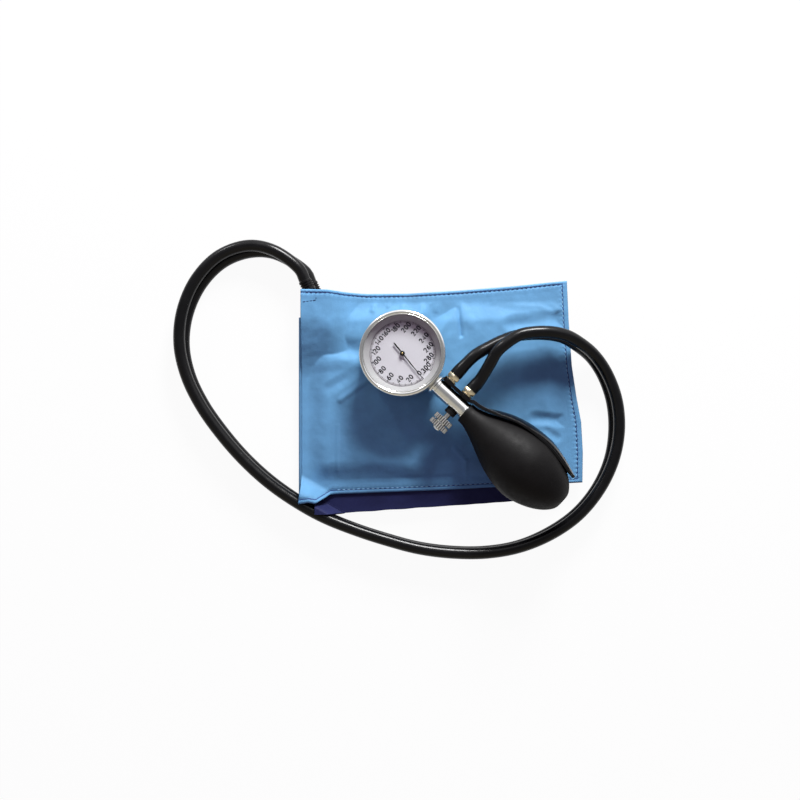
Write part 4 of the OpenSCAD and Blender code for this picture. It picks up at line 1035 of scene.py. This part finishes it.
    def rounded(
        self, spots: np.ndarray, half_x: float, half_y: float, corner: float = 9.0
    ) -> tuple[np.ndarray, np.ndarray]:
        """Return plan positions on the bladder with its corners rounded.

        Args:
            spots: Places from -1 to 1 across and up.
            half_x: Half of the length.
            half_y: Half of the width.
            corner: The radius of the corners.

        Returns:
            The x and y of each place.
        """
        x, y = spots[:, 0] * half_x, spots[:, 1] * half_y
        over_x = np.maximum(np.abs(x) - half_x + corner, 0)
        over_y = np.maximum(np.abs(y) - half_y + corner, 0)
        far = np.maximum(over_x, over_y)
        pull = np.where(far > 0, far / np.maximum(np.hypot(over_x, over_y), 1e-6), 1.0)
        x = np.sign(x) * (np.abs(x) - over_x * (1 - pull))
        y = np.sign(y) * (np.abs(y) - over_y * (1 - pull))
        return x + self.bladder_mid[0], y + self.bladder_mid[1]

    def neck_block(self) -> bpy.types.Object:
        """Make the moulded block where both tubes join the bladder."""
        low, high = Vector(self.block_low), Vector(self.block_high)
        bm = bmesh.new()
        place = Matrix.Translation((low + high) / 2) @ Matrix.Diagonal((*(high - low), 1.0))
        bmesh.ops.create_cube(bm, size=1.0, matrix=place)
        edge = self.block_edge
        bmesh.ops.bevel(bm, geom=bm.edges[:], offset=edge, segments=5, profile=0.5, affect="EDGES", material=-1)
        return self.lay(bm, "tube_block", BLADDER_RUBBER, ["bladder_neck"])

    def slab(
        self, seed: float, low: tuple[float, float], high: tuple[float, float], base: float
    ) -> bmesh.types.BMesh:
        """Return a thin closed sheet with a faintly rippled upper face.

        Args:
            seed: The place in the noise that its ripple is read from.
            low: Its corner with the smaller x and y.
            high: The opposite corner.
            base: The height of its underside.

        Returns:
            A closed mesh.
        """
        bm = sheet(60, 44)
        for vert in bm.verts:
            x = low[0] + (high[0] - low[0]) * (vert.co.x + 0.5)
            y = low[1] + (high[1] - low[1]) * (vert.co.y + 0.5)
            vert.co = (x, y, base + self.slab_thick - 0.04 + 0.04 * noise.noise(Vector((x / 9, y / 9, seed))))
        for vert in grow(bm):
            vert.co.z = base
        bmesh.ops.recalc_face_normals(bm, faces=bm.faces)
        return bm

    def back_sheet(self) -> bpy.types.Object:
        """Make the top layer's own back, a thin sheet just inside the cover's edge."""
        bm = self.slab(10.0, (0.0, 0.0), (1.0, 1.0), 6.62)
        for vert in bm.verts:
            a, b = np.array([0.003 + 0.985 * vert.co.x]), np.array([0.035 + 0.955 * vert.co.y])
            x, y = (float(v[0]) for v in self.edges(a, b))
            if x < -79.5:
                y = min(y, 56.5)
            x = max(x, self.left + 0.15)
            vert.co.x, vert.co.y = x, y
        return self.lay(bm, "back_sheet", NAVY_LINING, ["cuff_inner_sheet"])

    def tapes(self) -> None:
        """Make the hook tape and the loop tape as thin sheets between the layers."""
        x, y = self.bladder_mid
        length, width = self.bladder_size
        low, high = (x - length * 0.37, y - width / 2 - 4), (x - length * 0.02, y + width / 2 - 16)
        hook = self.slab(4.0, low, high, 3.32)
        self.lay(hook, "hook_tape", HOOK_TAPE, ["hook_patch"])
        low, high = (x - length / 2 + 17, y - width / 2 - 8), (x + length / 2 - 15, y + width / 2 - 12)
        loop = self.slab(4.0, low, high, 2.32)
        self.lay(loop, "loop_tape", LOOP_TAPE, ["loop_patch"])

    def sewing(self) -> None:
        """Make the stitches along the hem and the tab where the hoses enter."""
        dark = [
            [self.hem_point(t, 1.0) for t in np.linspace(0.015, 0.975, 57)],
            [(x, 67.4 + 0.14 * (x + 98)) for x in np.linspace(-98.5, -88.9, 5)],
            [(-88.9, y) for y in np.linspace(68.9, 74.0, 3)],
        ]
        pale = [
            [self.hem_point(1.0, t) for t in np.linspace(0.975, 0.025, 43)],
            [self.hem_point(t, 0.0) for t in np.linspace(0.975, 0.13, 50)],
        ]
        self.stitches("hem_stitches", dark, THREAD)
        self.stitches("side_stitches", pale, PALE_THREAD)

    def stitches(self, name: str, runs: Sequence[Sequence[tuple[float, float]]], finish: Finish) -> bpy.types.Object:
        """Make one stitch between each two neighbours of every run."""
        bm = bmesh.new()
        for run in runs:
            for (x0, y0), (x1, y1) in zip(run, run[1:]):
                middle = ((x0 + x1) / 2, (y0 + y1) / 2)
                z = float(self.underside(np.array([middle[0]]), np.array([middle[1]]))[0]) + self.fabric - 0.2
                turn = Matrix.Rotation(math.atan2(y1 - y0, x1 - x0), 4, "Z")
                place = Matrix.Translation((*middle, z)) @ turn @ Matrix.Diagonal((*self.stitch, 1.0))
                bmesh.ops.create_uvsphere(bm, u_segments=6, v_segments=4, radius=1.0, matrix=place)
        return self.lay(bm, name, finish, (), 80)

    def hem_point(self, a: float, b: float) -> tuple[float, float]:
        """Return a point of the hem's sewing line, moved in from the edge."""
        a = min(a, 1 - self.side_seam / self.across)
        b = min(max(b, self.foot_seam / self.foot_up), 1 - self.top_seam / self.top_up)
        x, y = self.edges(np.array([a]), np.array([b]))
        return float(x[0]), float(y[0])


@dataclass
class HoseSleeves:
    """The ribbed rubber sleeves on the bladder's tubes."""

    outer: float = 9.5
    length: float = 8.0
    spigot: float = 2.6
    hoses: HosePair = field(default_factory=HosePair)

    def build(self) -> None:
        """Make both sleeves."""
        for name, mouth in (("a", self.hoses.port_a), ("b", self.hoses.port_b)):
            turn = Vector((*self.hoses.port_turn, 0)).normalized()
            place = CUFF_FRAME @ Matrix.Translation(mouth) @ turn.to_track_quat("Z", "Y").to_matrix().to_4x4()
            radius = self.outer / 2
            outline = [(0.0, 0.0), (radius - 0.35, 0.0), (radius - 0.05, 0.3), (radius, 1.0)]
            for at in (2.2, 3.9, 5.6):
                outline += [(radius, at - 0.55), (radius - 0.6, at - 0.2)]
                outline += [(radius - 0.6, at + 0.2), (radius, at + 0.55)]
            outline += [(radius, self.length - 0.4), (radius - 0.4, self.length), (self.spigot, self.length)]
            outline += [(self.spigot, self.length + 5), (0.0, self.length + 5)]
            publish(
                turned(outline, 48), f"hose_sleeve_{name}", HOSE_RUBBER, place,
                replaces=[f"bladder_port_{name}"],
            )  # fmt: skip


# ---- Head ---------------------------------------------------------------------------------


@dataclass
class SqueezeBulb:
    """The black squeeze bulb, its tail fitting and the palm lever that lies along it."""

    length: float = 91.2
    radius: float = 24.3
    neck: float = 7.6
    tail: float = 5.8
    belly_at: float = 57.0
    wall: float = 2.6

    def swell(self, u: float) -> float:
        """Return the bulb's outer radius at a distance from its mouth."""
        if u < self.belly_at:
            part = min(max((u - 2) / (self.belly_at - 2), 0.0), 1.0) ** 0.79
            return self.neck + (self.radius - self.neck) * (0.5 - 0.5 * math.cos(math.pi * part))
        axis = (self.length - self.belly_at) / (1 - (self.tail / self.radius) ** 2) ** (1 / 1.6)
        return self.radius * math.sqrt(1 - ((u - self.belly_at) / axis) ** 1.6)

    def build(self) -> None:
        """Make the bulb, its tail fitting and the lever."""
        self.bulb()
        self.tail_fitting()
        self.lever()

    def bulb(self) -> bpy.types.Object:
        """Make the hollow bulb with its rounded mouth and tail."""
        steps = 72
        outline = [(5.7, 0.4), (6.1, 0.0), (self.neck - 0.5, 0.0), (self.neck - 0.15, 0.15)]
        outline += [(self.swell(u), u) for u in (0.6 + (self.length - 1.4) * k / steps for k in range(steps + 1))]
        outline += [(self.tail - 0.5, self.length - 0.1), (4.6, self.length), (4.1, self.length - 0.4)]
        hollow_from, hollow_to = 16.0, self.length - 11
        outline += [(4.1, hollow_to)]
        for k in range(24, -1, -1):
            u = hollow_from + (hollow_to - hollow_from) * k / 24
            outline.append((self.swell(u) - self.wall * (1.6 if k == 24 else 1.0), u))
        outline.append((5.7, hollow_from))
        bm, place = turned(outline), HEAD.along(Axis.TAIL)
        return publish(bm, "bulb", BULB_RUBBER, place, replaces=["squeeze_bulb"], sharp=60)

    def tail_fitting(self) -> bpy.types.Object:
        """Make the metal intake in the bulb's tail."""
        end = self.length
        outline = [(2.8, end - 10.5), (4.0, end - 10.5), (4.0, end - 0.6), (3.7, end - 0.2), (3.2, end - 0.1)]
        outline += [(2.8, end - 0.5)]
        outline += [(2.8, end - 1.2), (1.2, end - 1.2), (1.2, end - 2.7), (2.8, end - 2.7)]
        place = HEAD.along(Axis.TAIL)
        bm = turned(outline, 48)
        return publish(bm, "tail_intake", BRIGHT_STEEL, place, replaces=["inlet_housing"])

    def lever(self) -> bpy.types.Object:
        """Make the palm lever: a flat plate that turns into a spoon round the bulb."""
        line = [
            (-27, 5.85), (-3, 5.85), (-1.6, 6.7), (-0.3, 7.5), (3, 7.7), (8, 8.6), (11, 10.6), (15, 13.2), (20, 16.1),
            (26, 19), (33, 21.3), (40, 22.8), (46, 23.6), (52, 24), (58, 23.95), (64, 23.15), (70, 21.7), (75, 20.2),
            (80, 18.5), (86, 16.2),
        ]  # fmt: skip
        half = [
            (-27, 3.7), (-26.4, 4.5), (-25.4, 5.3), (-24, 5.7), (-3, 5.7), (12, 9.1), (26, 10.5), (38, 12.1),
            (52, 13.5), (62, 13.3), (72, 11.3), (79, 8.6), (83, 5.9), (85, 3.5), (86, 1.2),
        ]  # fmt: skip
        runs = ((-27, -23, 7), (-21, -4, 8), (-3, 83, 80), (83.4, 86, 7))
        stations = np.concatenate([np.linspace(*run) for run in runs])
        columns = len(stations) - 1
        bm = sheet(columns, 24)
        for vert in bm.verts:
            u = float(stations[round((vert.co.x + 0.5) * columns)])
            face = self.even(line, u)
            w = 2 * vert.co.y * self.even(half, u)
            bend = float(ease((u - 5) / 18)) / (face + HEAD.bulb_shift)
            drop = 1 / bend - math.sqrt(1 / bend**2 - w * w) if bend > 0 else 0.0
            vert.co = (u, face - drop, -w)
        for vert in grow(bm):
            vert.co.y += 2.5 - 0.7 * float(ease(vert.co.x / 30))
        bmesh.ops.recalc_face_normals(bm, faces=bm.faces)
        made = publish(
            bm, "lever_spoon", LEVER_PLASTIC, HEAD.matrix(), replaces=["palm_lever"], sharp=50
        )
        return soften(made, 0.6, 3, 50)

    @staticmethod
    def even(points: Sequence[tuple[float, float]], at: float) -> float:
        """Return a value between listed points, smoothed over its neighbours past the plate."""
        us, values = [p[0] for p in points], [p[1] for p in points]
        if at < -3:
            return float(np.interp(at, us, values))
        reach = 2.0 if at > 4 else 0.5
        return float(np.mean(np.interp([at - reach, at, at + reach], us, values)))


@dataclass
class NeckAndValve:
    """The chrome neck, its two hose fittings and the release valve."""

    radius: float = 5.75
    length: float = 25.5
    plate_face: float = 8.35
    hex_flats: float = 8.7
    hoses: HosePair = field(default_factory=HosePair)
    knob_radius: float = 7.25
    knob_start: float = 13.1
    knob_length: float = 8.4
    knob_teeth: int = 24
    knob_groove: float = 1.0

    def build(self) -> None:
        """Make the neck, the fittings and the valve."""
        self.neck()
        self.collar()
        for name, at in (("a", self.hoses.fitting_a), ("b", self.hoses.fitting_b)):
            self.fitting(name, at)
        self.seals()
        self.bonnet()
        self.knob()

    def neck(self) -> bpy.types.Object:
        """Make the polished neck with its stem, its rim and the barbed spigot in the bulb."""
        outline = [(1.6, -36.2), (4.0, -36.2), (4.0, -self.length), (self.radius - 0.3, -self.length)]
        outline += [(self.radius, -self.length + 0.3), (self.radius, -1.3), (self.radius + 0.5, -1.0)]
        outline += arc((self.radius + 0.2, -0.3), 0.3, 0, 90, 4)
        outline += [(5.0, 0.0), (5.0, 5.0), (5.6, 5.0), (5.0, 7.5), (5.0, 10.0), (5.6, 10.0), (5.0, 12.5)]
        outline += [(5.0, 14.0)]
        outline += [(3.0, 14.0), (3.0, -3.0), (1.8, -3.0), (1.8, -11.0), (1.6, -14.0)]
        bm = turned(outline)
        return publish(bm, "chrome_neck", CHROME, HEAD.along(Axis.GAUGE), replaces=["valve_body"])

    def collar(self) -> bpy.types.Object:
        """Make the stepped collar between the neck and the gauge's boss."""
        start = -28.9
        outline = [(4.05, start), (7.4, start), (7.75, start + 0.35), (7.75, start + 1.35), (7.4, start + 1.7)]
        outline += [(5.6, start + 1.8), (5.6, -25.6), (4.05, -25.6)]
        place = HEAD.along(Axis.GAUGE)
        bm = turned(outline, 72)
        return publish(bm, "neck_collar", CHROME, place, replaces=["stem_collar"])

    def fitting(self, name: str, at: float) -> bpy.types.Object:
        """Make one hose fitting: thread, flange, hexagon and the stub in the hose."""
        foot = self.plate_face + 0.5
        end = self.hoses.hose_face
        outline = [(1.3, 2.2), (2.45, 2.2), (2.45, foot), (4.3, foot), (4.65, foot + 0.2), (4.65, foot + 0.8)]
        outline += [(4.3, foot + 1.0), (3.55, foot + 1.1), (3.55, foot + 1.55), (3.9, foot + 1.6), (3.9, end)]
        outline += [(2.6, end), (2.6, end + 7.6), (2.2, end + 8.0), (1.3, end + 8.0)]
        bm = turned(outline, 48)
        corner = self.hex_flats / 2 / math.cos(math.pi / 6)
        hexagon = bmesh.ops.create_cone(
            bm, cap_ends=True, segments=6, radius1=corner, radius2=corner, depth=3.2,
            matrix=Matrix.Translation((0, 0, end - 1.7)),
        )  # fmt: skip
        corners = {edge for vert in hexagon["verts"] for edge in vert.link_edges}
        bmesh.ops.bevel(bm, geom=list(corners), offset=0.35, segments=2, profile=0.5, affect="EDGES", material=-1)
        return publish(
            bm, f"hose_nut_{name}", WASHED_BRASS, HEAD.along(Axis.LEVER, -at),
            replaces=[f"hose_fitting_{name}"], sharp=25,
        )  # fmt: skip

    def seals(self) -> bpy.types.Object:
        """Make the two black washers under the fittings, and the short sleeves on their threads."""
        bm, low = bmesh.new(), self.plate_face
        washer = [(2.55, low + 0.02), (4.2, low + 0.02), (4.35, low + 0.25), (4.2, low + 0.48), (2.55, low + 0.48)]
        sleeve = [(2.48, 4.0), (3.5, 4.0), (3.5, 5.83), (2.48, 5.83)]
        for at in (self.hoses.fitting_a, self.hoses.fitting_b):
            place = Matrix.Translation((-at, 0, 0)) @ Matrix.Rotation(-math.pi / 2, 4, "X")
            for outline in (washer, sleeve):
                add_ring(bm, outline, 40, place)
        place = HEAD.matrix()
        return publish(bm, "fitting_washers", SEAL_RUBBER, place, replaces=["fitting_seals"])

    def bonnet(self) -> bpy.types.Object:
        """Make the black valve bonnet with its flange."""
        outline = [(2.05, 3.4), (3.0, 3.4), (3.0, 6.55), (3.9, 6.55), (4.2, 6.85), (4.2, 8.7), (3.8, 9.2)]
        outline += [(2.05, 9.2)]
        return publish(
            turned(outline, 48), "release_bonnet", BLACK_PLASTIC, HEAD.along(Axis.KNOB, -self.hoses.fitting_a),
            replaces=["valve_bonnet"],
        )  # fmt: skip

    def knob(self) -> None:
        """Make the release screw, the plug's tip, the knurled knob and its cap."""
        place = HEAD.along(Axis.KNOB, -self.hoses.fitting_a)
        end = self.knob_start + self.knob_length
        screw = turned([(0.0, 5.3), (1.7, 5.3), (2.0, 5.6), (2.0, end), (0.0, end)], 40)
        publish(screw, "release_stem", BRIGHT_STEEL, place, "knob", ["release_screw"])
        tip = turned([(0.0, 3.85), (1.1, 3.85), (1.5, 4.05), (1.5, 4.25), (0.0, 4.25)], 40)
        publish(tip, "valve_tip", FLAP_RUBBER, place, "plug", ["valve_plug"])
        band = (self.knob_length - self.knob_groove) / 2
        low_face, high_face = self.knob_start + band, end - band
        outline = [(2.05, self.knob_start), (5.6, self.knob_start), (6.05, self.knob_start + 0.4), (6.05, low_face)]
        outline += [(4.3, low_face), (4.3, high_face), (6.05, high_face), (6.05, end - 0.4), (5.6, end)]
        outline += [(2.05, end)]
        core = turned(outline, 72)
        for low in (self.knob_start, self.knob_start + band + self.knob_groove):
            self.knurl(core, low, band)
        # Knurl valleys and the groove's end walls take dark steel: painted shade in these hollows.
        for face in core.faces:
            middle = face.calc_center_median()
            out = math.hypot(middle.x, middle.y)
            grooved = low_face - 0.01 < middle.z < high_face + 0.01
            valley = out < self.knob_radius - 0.45 and abs(face.normal.z) < 0.7 and not (grooved and out < 5)
            if valley or (grooved and abs(face.normal.z) > 0.7):
                face.material_index = 1
        knob = publish(core, "knurled_knob", CHROME, place, "knob", ["release_knob"], sharp=25)
        knob.data.materials.append(KNURL_SHADE_STEEL.material())
        outline = [(0.0, end), (2.7, end), (3.0, end + 0.3), (3.0, end + 1.1), (2.6, end + 1.5), (0.0, end + 1.5)]
        cap = turned(outline, 48)
        publish(cap, "knob_end", CHROME, place, "knob", ["knob_cap"])

    def knurl(self, bm: bmesh.types.BMesh, low: float, height: float) -> None:
        """Add one ring of rounded knurls to the knob's mesh, as a toothed crown round its core."""
        steps = self.knob_teeth * 8
        ring = bmesh.ops.create_circle(bm, cap_ends=False, segments=steps, radius=1.0)["verts"]
        for k, vert in enumerate(ring):
            angle = 2 * math.pi * k / steps
            tooth = abs(math.sin(angle * self.knob_teeth / 2)) ** 0.8
            reach = self.knob_radius - 0.9 * (1 - tooth)
            vert.co = (reach * math.cos(angle), reach * math.sin(angle), low + 0.25)
        for steps_up in (((height - 0.5, 1.0), (0.25, 0.96), (0.0, 0.8)), ((-0.25, 0.96), (0.0, 0.8))):
            edges = list({edge for vert in ring for edge in vert.link_edges if edge.is_wire or edge.is_boundary})
            for rise, scale in steps_up:
                grown = bmesh.ops.extrude_edge_only(bm, edges=edges)["geom"]
                edges = [item for item in grown if isinstance(item, bmesh.types.BMEdge)]
                for vert in (item for item in grown if isinstance(item, bmesh.types.BMVert)):
                    vert.co = (vert.co.x * scale, vert.co.y * scale, vert.co.z + rise)
        bmesh.ops.recalc_face_normals(bm, faces=bm.faces)


@dataclass
class PressureGauge:
    """The dial gauge: case, bezel, lens, dial and pointer."""

    back: float = -13.0
    dial_high: float = 8.3
    zero: float = -7.9
    step: float = 22.73
    upright: float = 92.6
    numeral_height: float = 3.6
    numeral_radius: float = 17.8
    stroke: float = 0.78
    press: float = 0.08
    capital: float = 0.69
    print_thick: float = 0.012
    pointer_angle: float = -8.5
    place: Matrix = field(default_factory=HEAD.gauge)

    def build(self) -> None:
        """Make every piece of the gauge that shows."""
        self.case_cup()
        self.bezel_ring()
        self.lens()
        self.inner_rim()
        self.dial()
        self.scale_marks()
        self.numerals()
        self.pointer()

    def case_cup(self) -> bpy.types.Object:
        """Make the satin case with its rounded back and the boss for the stem."""
        outline = [(0.0, self.back), (26.0, self.back)]
        outline += arc((26.0, self.back + 3), 3.0, -90, 0, 10)[1:]
        outline += [(29.0, 11.9), (27.4, 11.9), (27.4, 7.8), (24.5, 7.8), (24.5, 6.8), (27.4, 6.8)]
        outline += [(27.4, -11.2), (0.0, -11.2)]
        bm = turned(outline, 128)
        boss = [(4.05, 27.8), (6.2, 27.8), (6.6, 28.2), (6.6, 29.85), (6.3, 30.15), (4.05, 30.15)]
        add_ring(bm, boss, 64, Matrix.Rotation(math.pi / 2, 4, "Y"))
        return publish(bm, "case_cup", SATIN_CASE, self.place, replaces=["gauge_case"], sharp=40)

    def bezel_ring(self) -> bpy.types.Object:
        """Make the bright bezel: a rolled outer edge, a groove and a rolled lip over the lens."""
        outline = [(29.05, 7.0), (29.7, 7.0), (30.0, 7.3), (30.0, 12.9)]
        outline += arc((28.4, 13.2), 1.6, 0, 125, 14)
        outline += [(27.44, 14.16), (27.3, 14.16)]
        outline += arc((27.02, 14.42), 0.3, 0, 250, 10)
        outline += [(26.95, 14.12), (29.05, 14.12)]
        bm = turned(outline, 144)
        return publish(bm, "bezel_ring", CHROME, self.place, replaces=["bezel"], sharp=40)

    def lens(self) -> bpy.types.Object:
        """Make the lens with ground edges."""
        outline = [(0.0, 12.7), (28.7, 12.7), (28.9, 12.9), (28.9, 13.9), (28.7, 14.1), (0.0, 14.1)]
        return publish(turned(outline), "clear_lens", LENS_GLASS, self.place, replaces=["lens"])

    def inner_rim(self) -> bpy.types.Object:
        """Make the pale sloped ring between the dial and the lens."""
        outline = [(23.1, 8.3), (27.3, 8.3), (27.3, 12.7), (26.5, 12.7), (26.2, 12.5), (23.4, 9.0), (23.1, 8.8)]
        bm = turned(outline, 128)
        return publish(bm, "sloped_rim", RIM_GREY, self.place, replaces=["dial_rim"], sharp=50)

    def dial(self) -> bpy.types.Object:
        """Make the white dial with its hole."""
        outline = [(1.2, 7.8), (27.3, 7.8), (27.3, 8.3), (1.35, 8.3), (1.2, 8.2)]
        return publish(turned(outline), "dial_face", DIAL_WHITE, self.place, replaces=["dial"])

    def mark(self, bm: bmesh.types.BMesh, angle: float, inner: float, outer: float, width: float) -> None:
        """Add one thin printed bar that points at the dial's middle."""
        turn = Matrix.Rotation(math.radians(angle), 4, "Z")
        place = turn @ Matrix.Translation(((inner + outer) / 2, 0, self.dial_high + 0.02))
        bmesh.ops.create_cube(bm, size=1.0, matrix=place @ Matrix.Diagonal((outer - inner, width, 0.03, 1.0)))

    def scale_marks(self) -> None:
        """Make the scale's ticks and its thin ring."""
        fine, main = bmesh.new(), bmesh.new()
        for value in range(0, 301, 2):
            angle = self.zero - value / 20 * self.step
            if value % 20 == 0:
                self.mark(main, angle, 20.8, 22.9, 0.5)
            elif value % 10 == 0:
                self.mark(fine, angle, 21.1, 22.9, 0.46)
            else:
                self.mark(fine, angle, 21.5, 22.9, 0.36)
        for k in range(180):
            self.mark(fine, self.zero - 15 * self.step * (k + 0.5) / 180, 22.75, 22.95, 0.78)
        publish(fine, "fine_marks", FAINT_INK, self.place)
        publish(main, "main_marks", INK, self.place)

    def numerals(self) -> None:
        """Make the scale's numbers and its unit, all upright to one direction."""
        for index in range(16):
            angle = self.zero - index * self.step
            radius = self.numeral_radius + (0.8 if index > 4 else 0.0)
            if index == 0:
                angle = -5.9
            elif index == 15:
                angle, radius = 12.2, 19.0
            self.number(index * 20, radius, math.radians(angle))
        self.word("unit_word", "mmHg", 20.4, math.radians(3.4), 1.3)

    def printed(
        self, name: str, curve: bpy.types.Curve, radius: float, angle: float, press: float = 1.0
    ) -> bpy.types.Object:
        """Turn a curve into flat print on the dial.

        Args:
            name: The piece's name.
            curve: The curve, in millimetres round its own middle.
            radius: Its distance from the dial's middle.
            angle: Its direction from the dial's middle, in radians.
            press: The factor that flattens it.

        Returns:
            The finished object.
        """
        letters = bpy.data.objects.new(name, curve)
        bpy.context.scene.collection.objects.link(letters)
        mesh = bpy.data.meshes.new_from_object(letters.evaluated_get(bpy.context.evaluated_depsgraph_get()))
        bpy.data.objects.remove(letters)
        bm = bmesh.new()
        bm.from_mesh(mesh)
        bpy.data.meshes.remove(mesh)
        bm.transform(Matrix.Diagonal((1.0, 1.0, press, 1.0)))
        spot = Matrix.Translation((radius * math.cos(angle), radius * math.sin(angle), self.dial_high + 0.025))
        bm.transform(spot @ Matrix.Rotation(math.radians(self.upright), 4, "Z"))
        return publish(bm, name, INK, self.place)

    def digit(self, figure: str) -> list[tuple[list[tuple[float, float]], bool]]:
        """Return a figure's strokes as middle lines in a box of height 1, and whether each one closes."""

        def bow(x: float, y: float, rx: float, ry: float, start: float, end: float) -> list[tuple[float, float]]:
            """Return points on an oval's arc, with angles in degrees."""
            angles = [math.radians(start + (end - start) * k / 14) for k in range(15)]
            return [(x + rx * math.cos(t), y + ry * math.sin(t)) for t in angles]

        return {
            "0": [(bow(0.31, 0.5, 0.24, 0.42, 0, 336), True)],
            "1": [([(0.14, 0.72), (0.34, 0.92), (0.34, 0.08)], False)],
            "2": [(bow(0.3, 0.68, 0.22, 0.24, 170, -35) + [(0.08, 0.09), (0.55, 0.09)], False)],
            "3": [(bow(0.28, 0.71, 0.2, 0.21, 150, -85), False), (bow(0.28, 0.3, 0.23, 0.22, 85, -150), False)],
            "4": [([(0.56, 0.29), (0.06, 0.29), (0.42, 0.92), (0.42, 0.08)], False)],
            "6": [(bow(0.31, 0.3, 0.22, 0.22, 0, 336), True), ([(0.47, 0.92), (0.2, 0.68), (0.09, 0.34)], False)],
            "8": [(bow(0.31, 0.72, 0.18, 0.2, 0, 336), True), (bow(0.31, 0.29, 0.23, 0.22, 0, 336), True)],
        }[figure]

    def number(self, value: int, radius: float, angle: float) -> bpy.types.Object:
        """Make one printed number from round strokes pressed flat.

        Args:
            value: The number.
            radius: Its distance from the dial's middle.
            angle: Its direction from the dial's middle, in radians.

        Returns:
            The finished object.
        """
        name, height = f"number_{value}", self.numeral_height
        curve = bpy.data.curves.new(name, "CURVE")
        curve.dimensions = "3D"
        curve.bevel_depth = self.stroke / 2
        curve.bevel_resolution = 2
        curve.use_fill_caps = True
        widths = [0.54 if figure == "1" else 0.76 for figure in str(value)]
        left = -sum(widths) / 2
        for figure, width in zip(str(value), widths):
            for line, closed in self.digit(figure):
                spline = curve.splines.new("POLY")
                spline.points.add(len(line) - 1)
                for target, (x, y) in zip(spline.points, line):
                    target.co = ((left + x) * height, (y - 0.5) * height, 0.0, 1.0)
                spline.use_cyclic_u = closed
            left += width
        return self.printed(name, curve, radius, angle, self.press)

    def word(self, name: str, text: str, radius: float, angle: float, height: float) -> bpy.types.Object:
        """Make one flat printed word on the dial.

        Args:
            name: The piece's name.
            text: What it says.
            radius: Its distance from the dial's middle.
            angle: Its direction from the dial's middle, in radians.
            height: The height of its figures.

        Returns:
            The finished object.
        """
        curve = bpy.data.curves.new(name, "FONT")
        curve.body = text
        curve.align_x = "CENTER"
        curve.align_y = "CENTER"
        curve.size = height / self.capital
        curve.extrude = self.print_thick
        return self.printed(name, curve, radius, angle)

    def pointer(self) -> None:
        """Make the thin black pointer, its black hub and the brass pin in it."""
        bm = bmesh.new()
        edge = [(22.0, 0.2), (1.2, 0.44), (-2.6, 0.5), (-8.0, 0.56), (-9.2, 0.46), (-9.5, 0.2)]
        corners = [bm.verts.new((x, y, 9.4)) for x, y in edge + [(x, -y) for x, y in reversed(edge)]]
        bm.faces.new(corners)
        bmesh.ops.translate(bm, verts=grow(bm), vec=(0, 0, 0.4))
        bmesh.ops.recalc_face_normals(bm, faces=bm.faces)
        turn = Matrix.Rotation(math.radians(self.pointer_angle), 4, "Z")
        place = self.place @ turn
        made = publish(bm, "dial_pointer", POINTER_BLACK, place, "pointer_set", ["pointer"])
        soften(made, 0.08, 1)
        hub = turned([(0.62, 9.82), (1.75, 9.82), (1.75, 10.3), (1.45, 10.6), (0.62, 10.6)], 48)
        publish(hub, "pointer_boss", POINTER_BLACK, self.place, "pointer_set", ["pointer_hub"])
        pin = turned([(0.0, 9.82), (0.6, 9.82), (0.6, 10.6), (0.4, 10.75), (0.0, 10.8)], 32)
        publish(pin, "pointer_pin", CLOCK_BRASS, self.place, "pointer_set", ["pointer_hub"])


@dataclass
class InnerWorks:
    """Pieces that stay as CAD solids, most of them out of sight."""

    brass: Sequence[str] = (
        "gauge_inlet_block", "capsule_tube", "capsule_base", "pressure_capsule", "frame_posts", "base_plate",
        "top_plate", "plate_pillars", "pinion_bridge", "pinion", "sector_gear", "shaft_brackets", "spring_anchor",
        "outlet_seat", "outlet_cage",
    )  # fmt: skip
    steel: Sequence[str] = (
        "plate_screws", "pinion_arbor", "sector_arbor", "rocking_shaft", "hairspring", "capsule_post",
        "inlet_retainer", "inlet_filter",
    )  # fmt: skip

    def dress_all(self, nodes: dict[str, bpy.types.Object]) -> None:
        """Give every remaining CAD node its finish."""
        dress(nodes, CLOCK_BRASS, *self.brass)
        dress(nodes, BRIGHT_STEEL, *self.steel)
        dress(nodes, FLAP_RUBBER, "outlet_disc", "inlet_disc")
        dress(nodes, SEAL_RUBBER, "bonnet_seal", "bezel_gasket")


def main() -> None:
    """Build the scene in order: camera, hoses, cuff, head and inner pieces."""
    logging.basicConfig(level=logging.INFO, format="%(message)s")
    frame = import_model()
    Studio().build()
    hoses = HosePair()
    hoses.build()
    FoldedCuff().build()
    HoseSleeves(hoses=hoses).build()
    SqueezeBulb().build()
    NeckAndValve(hoses=hoses).build()
    PressureGauge().build()
    InnerWorks().dress_all(frame["nodes"])
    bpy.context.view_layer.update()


if __name__ == "__main__":
    main()
